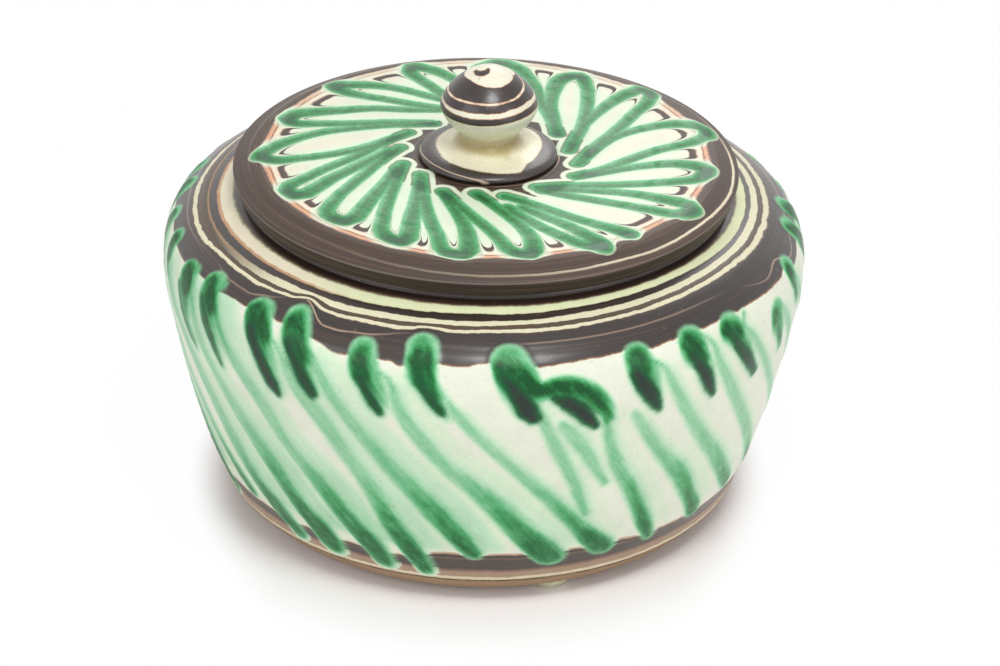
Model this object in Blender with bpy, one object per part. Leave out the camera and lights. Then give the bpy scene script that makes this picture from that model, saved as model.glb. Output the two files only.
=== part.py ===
# A covered pottery jar: a thrown and turned pot, a flanged lid that lifts off, a knob luted to the
# lid, and three soft pads stuck under the foot. Metres, +Z up. The origin is on the jar's axis, on
# the surface that the pads stand on, and the side that faces -Y is the front.
import math

import bmesh
import bpy
from mathutils import Vector

# Fits
fit_gap = 0.0003            # between two pieces that touch
weld = 0.000001             # points nearer than this are one
sharp_edge = math.radians(38)
round_steps = 3             # flats in a rounded edge

# Pads
pad_count = 3
pad_radius = 0.0058
pad_height = 0.0030
pad_contact_radius = 0.0048  # of the flat that stands on the table
pad_inset = 0.0002          # from the foot's flat edge to the pad
pad_front_turn = math.radians(17.8)   # from the front towards +X
pad_sides = 24

# Foot
foot_radius = 0.0709        # at the underside
foot_edge_round = 0.0009
foot_band = 0.0042          # height of the plain band under the glaze
foot_band_flare = 0.0034    # how far the band leans out
foot_groove_depth = 0.0005
foot_groove_width = 0.0008
foot_flare = 0.0004         # how far the wall stands out over the band
foot_ring_width = 0.0180
foot_recess = 0.0015
foot_recess_run = 0.0015

# Pot wall
belly_radius = 0.0900
belly_height = 0.0678       # of the widest ring, above the foot
wall = 0.0060
floor_thickness = 0.0070
floor_corner_radius = 0.0630
shoulder_radius = 0.0670    # where the shoulder ends at the lip
shoulder_drop = 0.0016      # of that edge below the seat
wall_sides = 60
outside_steps = 2           # between two stations of the outline
inside_steps = 1

# Mouth
mouth_radius = 0.0595
seat_height = 0.0893        # of the lip's flat seat, above the foot
lip_height = 0.0075
lip_round = 0.0015

# Lid
lid_radius = 0.0702         # at the upper edge
lid_edge_height = 0.0050
lid_edge_taper = 0.0010     # the lower edge is this much narrower
lid_edge_round = 0.0008
lid_band_width = 0.0069     # of the sloping band inside the edge
lid_band_rise = 0.0023
lid_band_middle_shares = ((0.50, 0.55),)   # of the band's width and rise, a little full
lid_thickness = 0.0060
flange_clearance = 0.0012   # to the mouth, all round
flange_thickness = 0.0045
flange_depth = 0.0075
flange_round = 0.0014

# Knob
knob_foot_radius = 0.0192
knob_dish_radius = 0.0147
knob_foot_rise = 0.0025
knob_edge_rise = 0.0005     # straight part of its edge
knob_dish_rise = 0.0012     # of the dish from its rim to where the neck starts
knob_dish_share = 0.38      # of the way from the neck to the rim, where that is
knob_offset = 0.0005        # from the lid's axis towards +X, as thrown by hand
neck_radius = 0.0078
neck_height = 0.0064        # of the narrowest ring, above the lid's top
knob_radius = 0.0135
knob_height = 0.0152        # of the widest ring, above the lid's top
knob_crown = 0.0116         # from the widest ring up to the top
knob_belly = 0.0108         # the depth that the underside would have without a neck
ball_power = 1.57           # 2 would be an ellipse
knob_joint_radius = 0.0103  # where the neck has spread into the ball
knob_sides = 36
neck_steps = 3
underside_steps = 3
crown_steps = 9

# Shares of the way out from the foot to the belly, and of the way up
wall_shares = (
    (0.00, 0.00), (0.074, 0.048), (0.220, 0.134), (0.414, 0.283),
    (0.623, 0.476), (0.844, 0.731), (1.00, 1.00),
)
# Shares of the way in from the belly to the lip, and of the way up
shoulder_shares = (
    (0.00, 0.00), (0.023, 0.265), (0.112, 0.510), (0.295, 0.700),
    (0.548, 0.850), (0.822, 0.942), (1.00, 1.00),
)

# Colour, roughness
finishes = {
    "jar_body": ((0.78, 0.80, 0.66, 1.0), 0.32),
    "lid_plate": ((0.11, 0.08, 0.065, 1.0), 0.36),
    "lid_knob": ((0.13, 0.095, 0.075, 1.0), 0.34),
    "pads": ((0.62, 0.62, 0.46, 1.0), 0.25),
}

# Heights that follow from the sizes above
foot_z = pad_height + fit_gap
seat_z = foot_z + seat_height
lid_z = seat_z + fit_gap
lid_top = lid_edge_height + lid_band_rise       # above the lid's underside
pad_circle = foot_radius - foot_edge_round - pad_inset - pad_radius


def clear_scene():
    for obj in list(bpy.data.objects):
        bpy.data.objects.remove(obj, do_unlink=True)


def between(low, high, share):
    return low + (high - low) * share


def arc(centre, radius, start_degrees, end_degrees):
    # Points round a centre, from one angle to the other, both ends included
    points = []
    for step in range(round_steps + 1):
        angle = math.radians(between(start_degrees, end_degrees, step / round_steps))
        points.append((centre[0] + radius * math.cos(angle), centre[1] + radius * math.sin(angle)))
    return points


def curve_through(stations, steps):
    # A rounded line through the stations, with as many steps in each span
    knots = [Vector(station) for station in stations]
    chords = [(b - a).length for a, b in zip(knots, knots[1:])]
    slopes = [(b - a) / chord for a, b, chord in zip(knots, knots[1:], chords)]
    tangents = [slopes[0]]
    for before, after, chord_before, chord_after in zip(slopes, slopes[1:], chords, chords[1:]):
        tangents.append((before * chord_after + after * chord_before) / (chord_before + chord_after))
    tangents.append(slopes[-1])
    points = [tuple(knots[0])]
    for index, chord in enumerate(chords):
        for step in range(1, steps + 1):
            t = step / steps
            point = (
                knots[index] * (2 * t ** 3 - 3 * t ** 2 + 1)
                + tangents[index] * chord * (t ** 3 - 2 * t ** 2 + t)
                + knots[index + 1] * (3 * t ** 2 - 2 * t ** 3)
                + tangents[index + 1] * chord * (t ** 3 - t ** 2)
            )
            points.append(tuple(point))
    return points


def placed(shares, start, end):
    # Turns shares into places between two points of the outline
    return [(between(start[0], end[0], out), between(start[1], end[1], up)) for out, up in shares]


def turned(name, outline, sides):
    # Spins an outline of (radius, height) points about the Z axis into one closed body
    shape = bmesh.new()
    ring = [shape.verts.new((radius, 0, height)) for radius, height in outline]
    for first, second in zip(ring, ring[1:]):
        shape.edges.new((first, second))
    if outline[0][0] > 0:
        shape.edges.new((ring[-1], ring[0]))
    bmesh.ops.spin(
        shape, geom=shape.verts[:] + shape.edges[:], cent=(0, 0, 0), axis=(0, 0, 1),
        angle=math.tau, steps=sides, use_merge=True,
    )
    bmesh.ops.remove_doubles(shape, verts=shape.verts, dist=weld)
    bmesh.ops.recalc_face_normals(shape, faces=shape.faces)
    mesh = bpy.data.meshes.new(name)
    shape.to_mesh(mesh)
    shape.free()
    mesh.shade_smooth()
    mesh.set_sharp_from_angle(angle=sharp_edge)
    return mesh


def glaze(name):
    colour, roughness = finishes[name]
    material = bpy.data.materials.new(name)
    material.use_nodes = True
    shader = material.node_tree.nodes["Principled BSDF"]
    shader.inputs["Base Color"].default_value = colour
    shader.inputs["Roughness"].default_value = roughness
    shader.inputs["Metallic"].default_value = 0.0
    return material


def place(name, mesh, material, location, parent=None):
    if not mesh.materials:
        mesh.materials.append(material)
    obj = bpy.data.objects.new(name, mesh)
    obj.parent = parent
    obj.location = location
    bpy.context.scene.collection.objects.link(obj)
    return obj


def foot_outline():
    # From the middle of the underside out to the groove over the foot's band
    ring_inside = foot_radius - foot_ring_width
    band_top = foot_radius + foot_band_flare
    return [
        (0, foot_recess),
        (ring_inside - foot_recess_run, foot_recess),
        (ring_inside, 0),
        (foot_radius - foot_edge_round, 0),
        (foot_radius, foot_edge_round),
        (band_top, foot_band),
        (band_top - foot_groove_depth, foot_band + foot_groove_width / 2),
    ]


def lip_outline():
    # From the shoulder's edge, over the flat seat, down inside the mouth to the lip's lower edge
    outer_round = arc((shoulder_radius - lip_round, seat_height - lip_round), lip_round, 0, 90)
    upper_round = arc((mouth_radius + lip_round, seat_height - lip_round), lip_round, 90, 180)
    lip_foot = seat_height - lip_height
    lower_round = arc((mouth_radius + lip_round, lip_foot + lip_round), lip_round, 180, 270)
    return outer_round + upper_round + lower_round


def jar_body():
    wall_start = (foot_radius + foot_band_flare + foot_flare, foot_band + foot_groove_width)
    belly = (belly_radius, belly_height)
    shoulder_end = (shoulder_radius, seat_height - shoulder_drop)
    outside = placed(wall_shares, wall_start, belly) + placed(shoulder_shares, belly, shoulder_end)[1:]

    inner_belly = (belly_radius - wall, belly_height)
    lip_foot = (mouth_radius + lip_round, seat_height - lip_height)
    floor_corner = (floor_corner_radius, floor_thickness)
    inside = placed(shoulder_shares, inner_belly, lip_foot)[::-1]
    inside += placed(wall_shares, floor_corner, inner_belly)[::-1][1:]

    outline = foot_outline()
    outline += curve_through(outside, outside_steps)
    outline += lip_outline()
    outline += curve_through(inside, inside_steps)[1:]
    outline.append((0, floor_thickness))
    mesh = turned("jar_body", outline, wall_sides)
    return place("jar_body", mesh, glaze("jar_body"), (0, 0, foot_z))


def lid_plate(carrier):
    # Heights are above the lid's flat underside, which rests on the lip
    underside = lid_top - lid_thickness
    flange_outside = mouth_radius - flange_clearance
    flange_inside = flange_outside - flange_thickness
    flange_foot = flange_round - flange_depth
    lower_edge = lid_radius - lid_edge_taper
    outline = [(0, underside)]
    outline += arc((flange_inside - flange_round, underside - flange_round), flange_round, 90, 0)
    outline += arc((flange_inside + flange_round, flange_foot), flange_round, 180, 270)
    outline += arc((flange_outside - flange_round, flange_foot), flange_round, 270, 360)
    outline.append((flange_outside, 0))
    outline += arc((lower_edge - lid_edge_round, lid_edge_round), lid_edge_round, 270, 360)
    # The edge rounds over until it has the slope of the band inside it
    band_slope = math.degrees(math.atan2(lid_band_rise, lid_band_width))
    edge_middle = (lid_radius - lid_edge_round, lid_edge_height - lid_edge_round)
    outline += arc(edge_middle, lid_edge_round, 0, 90 - band_slope)
    band = [(lid_radius - lid_band_width, lid_top)]
    band = placed(lid_band_middle_shares, outline[-1], band[0]) + band
    outline += curve_through(outline[-1:] + band, outside_steps)[1:]
    outline += [(knob_foot_radius, lid_top), (0, lid_top)]
    mesh = turned("lid_plate", outline, wall_sides)
    return place("lid_plate", mesh, glaze("lid_plate"), (0, 0, 0), carrier)


def ball_rise(radius, depth):
    # How far the ball's outline stands from its widest ring, a little more pointed than an ellipse
    return depth * (1 - (radius / knob_radius) ** ball_power) ** (1 / ball_power)


def lid_knob(carrier):
    # Heights are above the lid's top, where the knob's foot is luted
    dish = knob_foot_rise + knob_dish_rise
    edge_width = knob_foot_radius - knob_dish_radius
    outline = [(0, 0), (knob_foot_radius, 0)]
    for step in range(round_steps + 1):
        angle = math.radians(between(0, 90, step / round_steps))
        outline.append((
            knob_dish_radius + edge_width * math.cos(angle),
            between(knob_edge_rise, knob_foot_rise, math.sin(angle)),
        ))
    # The neck spreads into the ball's own outline at a radius under the widest ring
    joint = (knob_joint_radius, knob_height - ball_rise(knob_joint_radius, knob_belly))
    outline += curve_through(
        [
            (knob_dish_radius, knob_foot_rise),
            (between(neck_radius, knob_dish_radius, knob_dish_share), dish),
            (neck_radius, neck_height),
            joint,
        ],
        neck_steps,
    )[1:]
    joint_angle = math.acos(knob_joint_radius / knob_radius)
    for step in range(1, underside_steps):
        radius = knob_radius * math.cos(between(joint_angle, 0, step / underside_steps))
        outline.append((radius, knob_height - ball_rise(radius, knob_belly)))
    for step in range(crown_steps):
        radius = knob_radius * math.cos(between(0, math.pi / 2, step / crown_steps))
        outline.append((radius, knob_height + ball_rise(radius, knob_crown)))
    outline.append((0, knob_height + knob_crown))
    mesh = turned("lid_knob", outline, knob_sides)
    return place("lid_knob", mesh, glaze("lid_knob"), (knob_offset, 0, lid_top + fit_gap), carrier)


def foot_pads():
    # The stuck face on top is wider than the flat that stands on the table
    bulge = pad_radius - pad_contact_radius
    outline = [(0, 0)]
    for step in range(round_steps + 1):
        angle = math.radians(between(-90, 0, step / round_steps))
        height = pad_height * (1 + math.sin(angle))
        outline.append((pad_contact_radius + bulge * math.cos(angle), height))
    outline.append((0, pad_height))
    mesh = turned("foot_pad", outline, pad_sides)
    material = glaze("pads")
    for index in range(pad_count):
        turn = pad_front_turn - math.pi / 2 + index * math.tau / pad_count
        location = (pad_circle * math.cos(turn), pad_circle * math.sin(turn), 0)
        place(f"foot_pad_{index + 1}", mesh, material, location)


def main():
    clear_scene()
    jar_body()
    carrier = bpy.data.objects.new("lid_lift", None)
    carrier.location = (0, 0, lid_z)
    bpy.context.scene.collection.objects.link(carrier)
    lid_plate(carrier)
    lid_knob(carrier)
    foot_pads()


main()
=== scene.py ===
import math

import bmesh
import bpy
import numpy as np
from mathutils import Matrix, Vector


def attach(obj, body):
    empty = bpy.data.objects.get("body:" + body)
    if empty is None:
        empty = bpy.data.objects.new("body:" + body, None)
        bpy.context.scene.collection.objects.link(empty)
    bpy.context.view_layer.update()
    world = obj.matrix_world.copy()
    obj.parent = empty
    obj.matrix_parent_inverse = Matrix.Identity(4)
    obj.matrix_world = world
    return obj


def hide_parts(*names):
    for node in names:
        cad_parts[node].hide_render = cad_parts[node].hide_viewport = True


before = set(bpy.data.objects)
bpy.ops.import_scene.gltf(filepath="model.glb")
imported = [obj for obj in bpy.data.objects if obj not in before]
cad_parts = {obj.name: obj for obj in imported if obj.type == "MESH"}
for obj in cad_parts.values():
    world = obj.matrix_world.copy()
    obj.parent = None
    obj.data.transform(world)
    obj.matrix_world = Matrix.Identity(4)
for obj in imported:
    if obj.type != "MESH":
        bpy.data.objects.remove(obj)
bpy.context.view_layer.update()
print("frame loaded:", ", ".join(sorted(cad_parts)))

# Lengths of pieces are in metres. The ornament's tables are in millimetres and in degrees round the jar,
# counted from the front (-Y) towards the right (+X).
perMillimetre = 0.001
wedges = 12         # every count of sides is a multiple of this
farAway = -30.0     # the reach of points that a line doesn't come near

heights = {"footRing": 0.0033, "lidUnderside": 0.0929, "knobFoot": 0.1005}     # where each piece starts


def between(low, high, share):
    return low + (high - low) * share


def easeStep(values, low, high):
    t = np.clip((values - low) / (high - low), 0, 1)
    return t * t * (3 - 2 * t)


def arc(centre, radius, startDegrees, endDegrees, steps):
    angles = np.radians(np.linspace(startDegrees, endDegrees, steps + 1))
    return [(centre[0] + radius * math.cos(a), centre[1] + radius * math.sin(a)) for a in angles]


def placed(shares, start, end):
    return [(between(start[0], end[0], out), between(start[1], end[1], up)) for out, up in shares]


def runOf(points):
    # how far along the line each point is
    return np.r_[0, np.cumsum(np.linalg.norm(np.diff(np.array(points, float), axis=0), axis=1))]


def roundedStep(t, start, end, startSlope, endSlope):
    # from start to end on a smooth curve that leaves and arrives at the given slopes
    return (
        start * (2 * t ** 3 - 3 * t ** 2 + 1) + startSlope * (t ** 3 - 2 * t ** 2 + t)
        + end * (3 * t ** 2 - 2 * t ** 3) + endSlope * (t ** 3 - t ** 2)
    )


def curveThrough(stations, steps=3):
    # a rounded line through the stations, any number of values each
    knots = [np.array(station, float) for station in stations]
    chords = [max(float(np.linalg.norm((b - a)[:2])), 1e-9) for a, b in zip(knots, knots[1:])]
    slopes = [(b - a) / chord for a, b, chord in zip(knots, knots[1:], chords)]
    tangents = [slopes[0]]
    for before, after, chordBefore, chordAfter in zip(slopes, slopes[1:], chords, chords[1:]):
        tangents.append((before * chordAfter + after * chordBefore) / (chordBefore + chordAfter))
    tangents.append(slopes[-1])
    points = [tuple(knots[0])]
    for start, end, leaving, arriving, chord in zip(knots, knots[1:], tangents, tangents[1:], chords):
        for step in range(1, steps + 1):
            points.append(tuple(roundedStep(step / steps, start, end, leaving * chord, arriving * chord)))
    return points


def evenly(points, gap):
    # the same line with points about a gap apart
    line = np.array(points, float)
    run = runOf(line)
    count = max(int(round(run[-1] / gap)), 1)
    marks = np.linspace(0, run[-1], count + 1)
    return [(np.interp(m, run, line[:, 0]), np.interp(m, run, line[:, 1])) for m in marks]


def joined(*runs):
    # runs one after another, with their shared ends kept once
    line = [tuple(runs[0][0])]
    for run in runs:
        for point in run:
            if math.dist(point, line[-1]) > 1e-7:
                line.append(tuple(point))
    return line


def straights(corners, gaps):
    # straight from corner to corner, each stretch with its own gap between points
    return joined(*[evenly(ends, gap) for ends, gap in zip(zip(corners, corners[1:]), gaps)])


def turnedShape(name, outline, alongStart, sides, lift, middle=0.0):
    # Spins (radius, height) points about the Z axis. Each ring keeps its run along the outline in millimetres
    # and the way its surface faces, for the ornament and the slip's thickness.
    run = alongStart + runOf(outline) / perMillimetre
    ahead = np.gradient(np.array(outline, float), axis=0)
    ahead /= np.linalg.norm(ahead, axis=1)[:, None]
    shape = bmesh.new()
    along, faceOut, faceUp = [shape.verts.layers.float.new(title) for title in ("along", "faceOut", "faceUp")]
    ring = []
    for (radius, height), mark, (out, up) in zip(outline, run, ahead):
        vert = shape.verts.new((radius, 0, height + lift))
        vert[along] = mark
        vert[faceOut] = up
        vert[faceUp] = -out
        ring.append(vert)
    for first, second in zip(ring, ring[1:]):
        shape.edges.new((first, second))
    # one wedge is spun, then copied round, which is much quicker than a full spin of a fine outline
    bmesh.ops.spin(
        shape, geom=shape.verts[:] + shape.edges[:], cent=(0, 0, 0), axis=(0, 0, 1),
        angle=math.tau / wedges, steps=sides // wedges,
    )
    bmesh.ops.spin(
        shape, geom=shape.verts[:] + shape.edges[:] + shape.faces[:], cent=(0, 0, 0), axis=(0, 0, 1),
        angle=math.tau * (wedges - 1) / wedges, steps=wedges - 1, use_duplicate=True,
    )
    bmesh.ops.remove_doubles(shape, verts=shape.verts, dist=1e-6)
    bmesh.ops.recalc_face_normals(shape, faces=shape.faces)
    bmesh.ops.translate(shape, vec=(middle, 0, 0), verts=shape.verts)
    mesh = bpy.data.meshes.new(name)
    shape.to_mesh(mesh)
    shape.free()
    mesh.shade_smooth()
    return mesh


def readFloats(mesh, name):
    values = np.empty(len(mesh.vertices), np.float32)
    mesh.attributes[name].data.foreach_get("value", values)
    return values.astype(float)


def writeFloats(mesh, fields):
    for name, values in fields.items():
        layer = mesh.attributes.new(name, "FLOAT", "POINT")
        layer.data.foreach_set("value", np.ascontiguousarray(values, dtype=np.float32))


def places(mesh):
    spots = np.empty(len(mesh.vertices) * 3, np.float32)
    mesh.vertices.foreach_get("co", spots)
    return spots.reshape(-1, 3).astype(float)


def raiseSurface(mesh, amount):
    # moves each point along the way its ring faces, by an amount in millimetres
    spots = places(mesh)
    step = amount * perMillimetre
    length = np.linalg.norm(spots[:, :2], axis=1)
    away = spots[:, :2] / np.maximum(length, 1e-9)[:, None] * (length > 1e-6)[:, None]
    spots[:, :2] += away * (readFloats(mesh, "faceOut") * step)[:, None]
    spots[:, 2] += readFloats(mesh, "faceUp") * step
    mesh.vertices.foreach_set("co", spots.astype(np.float32).ravel())
    mesh.update()


def dressed(name, mesh, material, body, nodes):
    for extra in ("faceOut", "faceUp"):
        mesh.attributes.remove(mesh.attributes[extra])
    mesh.materials.append(material)
    obj = bpy.data.objects.new(name, mesh)
    bpy.context.scene.collection.objects.link(obj)
    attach(obj, body)
    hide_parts(*nodes)
    print(name, "made:", len(mesh.polygons), "faces")


def degreesRound(right, back):
    return np.degrees(np.arctan2(right, -back))


def roundTable(angles, table, column=1):
    # one column of a table whose rows start with degrees, read all the way round on a smooth curve
    rows = np.array(sorted(table), float)
    keys = np.r_[rows[-2:, 0] - 360, rows[:, 0], rows[:2, 0] + 360]
    values = np.r_[rows[-2:, column], rows[:, column], rows[:2, column]]
    slopes = np.diff(values) / np.diff(keys)
    before, after = slopes[:-1], slopes[1:]
    turning = before * after <= 0
    tangents = np.r_[0, np.where(turning, 0, 2 * before * after / np.where(turning, 1, before + after)), 0]
    slot = np.clip(np.searchsorted(keys, angles) - 1, 0, len(keys) - 2)
    width = keys[slot + 1] - keys[slot]
    t = (angles - keys[slot]) / width
    return roundedStep(t, values[slot], values[slot + 1], width * tangents[slot], width * tangents[slot + 1])


def lineReach(across, up, line):
    # How far each point is inside a line of (across, up, radius, green) stations, in millimetres, with the
    # side of the line that it is on (right above 0) and the green carried there. The green can be left out.
    reach = np.full(len(across), farAway)
    side = np.zeros(len(across))
    carried = np.zeros(len(across))
    stations = [(*station, 0)[:4] for station in line]
    for (x0, y0, r0, g0), (x1, y1, r1, g1) in zip(stations, stations[1:]):
        runX, runY = x1 - x0, y1 - y0
        length = math.hypot(runX, runY)
        if length < 1e-6:
            continue
        share = np.clip(((across - x0) * runX + (up - y0) * runY) / length ** 2, 0, 1)
        gap = np.hypot(across - x0 - share * runX, up - y0 - share * runY)
        radius = between(r0, r1, share)
        closer = radius - gap > reach
        reach = np.where(closer, radius - gap, reach)
        lateral = (runX * (up - y0) - runY * (across - x0)) / length
        side = np.where(closer, lateral / radius, side)
        carried = np.where(closer, between(g0, g1, share), carried)
    return reach, side, carried


def keepMost(field, chosen, values):
    field[chosen] = np.maximum(field[chosen], values)


jarForm = {
    "footRadius": 0.0709, "footRound": 0.0009, "footBand": 0.0042, "bandFlare": 0.0034,
    "grooveDepth": 0.0005, "grooveWidth": 0.0008, "footFlare": 0.0004,
    "ringWidth": 0.018, "recess": 0.0015, "recessRun": 0.0015,
    "bellyRadius": 0.09, "bellyHeight": 0.0678, "wall": 0.006, "floor": 0.007, "floorCorner": 0.063,
    "shoulderRadius": 0.067, "shoulderDrop": 0.0016,
    "mouthRadius": 0.0595, "seatHeight": 0.0893, "lipHeight": 0.0075, "lipRound": 0.0015,
    "sides": 660, "wallGap": 0.00102,
    "undersideGaps": (0.009, 0.001, 0.004), "footGaps": (0.0012, 0.0004, 0.0005),
    "strokeRise": 0.24, "slipRise": 0.07, "throwingRise": 0.05,     # in millimetres
    "glazeRuns": (8.5, 12, 100, 104.5),     # the raised glaze starts and ends here, along the outline
    "bandRuns": (83.8, 84.3, 92.8, 93.1),       # and the thick slip of the broad dark band here
}

wallShares = ((0.0, 0.0), (0.074, 0.048), (0.22, 0.134), (0.414, 0.283), (0.623, 0.476), (0.844, 0.731),
              (1.0, 1.0))
shoulderShares = ((0.0, 0.0), (0.023, 0.265), (0.112, 0.51), (0.295, 0.7), (0.548, 0.85), (0.822, 0.942),
                  (1.0, 1.0))

# Edges of the slip bands: where each one sits on an even pot, and how it wanders (degrees, millimetres up)
slipEdges = (
    (19.4, ((-160, 18.5), (-120, 16.8), (-78, 16), (-50, 16), (-26, 16.3), (-15, 16), (-8, 19.2), (0, 19.5),
            (8, 19.3), (20, 19), (28, 18.8), (35, 17.6), (52, 17), (78, 16), (110, 17.5), (150, 19.3))),
    (84.0, ((-170, 83.6), (-158, 84.4), (-146, 83.2), (-134, 84.2), (-122, 83), (-110, 84.3), (-98, 83.4),
            (-87, 84.1), (-76, 83.2), (-70, 83.2), (-63, 84.4), (-54, 84.8), (-50, 85.4), (-39.5, 85.7),
            (-30, 84.1), (-26, 82.5), (-18, 83.2), (-16, 83.5), (-14, 82.3), (-7, 84), (-4, 83.8),
            (0.6, 85.1), (9.6, 83.4), (14, 84.1), (20, 84.4), (24, 84.8), (30.5, 83.8), (35, 84.4),
            (43, 84.3), (52, 84.1), (59, 83.7), (64, 83.2), (68, 83.2), (70, 83.8), (76, 81), (84, 83.6),
            (96, 84.4), (108, 83.1), (120, 84.3), (133, 83.4), (146, 84.5), (158, 83.2), (170, 84.2))),
    (93.0, ((-150, 93.8), (-110, 92), (-75, 90.4), (-60, 92.1), (-50, 92.1), (-40, 93.4), (-36, 95.0),
            (-31, 92.7), (-20, 92.8), (-15, 93), (-11, 94.5), (-5, 93.7), (0, 94.1), (10, 94), (30, 94.5),
            (50, 94.9), (60, 94.6), (70, 93.7), (110, 93.2), (150, 94.2))),
    (94.0, ((-150, 95), (-110, 93.6), (-75, 92.1), (-60, 93.3), (-50, 93.4), (-40, 94.4), (-36, 95.7),
            (-31, 93.9), (-20, 94.2), (-15, 94.3), (-11, 95.3), (-5, 94.9), (0, 95.3), (10, 95.4),
            (30, 95.8), (40, 96.2), (50, 96.4), (60, 96.3), (70, 95.9), (110, 95.4), (150, 95.6))),
    (95.8, ((-150, 96.6), (-110, 95.2), (-75, 94.6), (-60, 94.3), (-50, 94.5), (-40, 95.3), (-36, 96.5),
            (-30, 95.1), (-20, 95.6), (-10, 96.3), (0, 96.5), (10, 96.9), (30, 97.3), (50, 97.8), (60, 97.7),
            (70, 97.2), (110, 96.9), (150, 97.1))),
    (97.6, ((-150, 98.2), (-110, 96.8), (-75, 95.9), (-60, 96.5), (-50, 96.9), (-40, 97.4), (-30, 97.2),
            (-20, 97.8), (-10, 98), (0, 98.3), (10, 98.4), (20, 99.2), (30, 99.4), (50, 99.8), (60, 99.7),
            (70, 99.4), (110, 99), (150, 98.8))),
    (100.2, ((-150, 100), (-75, 98.3), (-60, 98.8), (-50, 99.1), (-30, 99.7), (-20, 100.2), (-10, 100.6),
             (0, 101), (10, 101), (20, 101.4), (30, 101.7), (40, 101.7), (50, 101.6), (60, 101.1),
             (70, 100.5), (110, 100.4), (150, 100.6))),
)

# Fine lines dragged through the broad dark band: degrees, millimetres up, how strongly they show
slipThreads = ((-62, 90.3, 0), (-55, 89, 0.6), (-49, 89, 0.6), (-45, 90.5, 0.5), (-42, 92, 0.2),
               (-39, 94.5, 0), (-37.5, 95, 0.3), (-36.3, 94.6, 0.8), (-34.8, 93.6, 0.9), (-33, 91.6, 1),
               (-31.6, 89.9, 1), (-30.2, 89, 1), (-27.1, 88.8, 1), (-24.6, 89.2, 0.9), (-21.7, 89.6, 0.7),
               (-18.1, 90.6, 0.5), (-15.5, 91.8, 0.25), (-11, 92.5, 0), (4, 90.3, 0), (10, 90.5, 0.45),
               (30, 90.8, 0.55), (45, 91, 0.3), (54, 90, 0), (64, 86, 0.5), (70, 87.6, 0.8), (76, 84, 0.7),
               (86, 88, 0.3), (110, 89.5, 0.6), (130, 91.5, 0.3), (-120, 90, 0.6), (-150, 91.5, 0.3),
               (-80, 89, 0.4))

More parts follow.
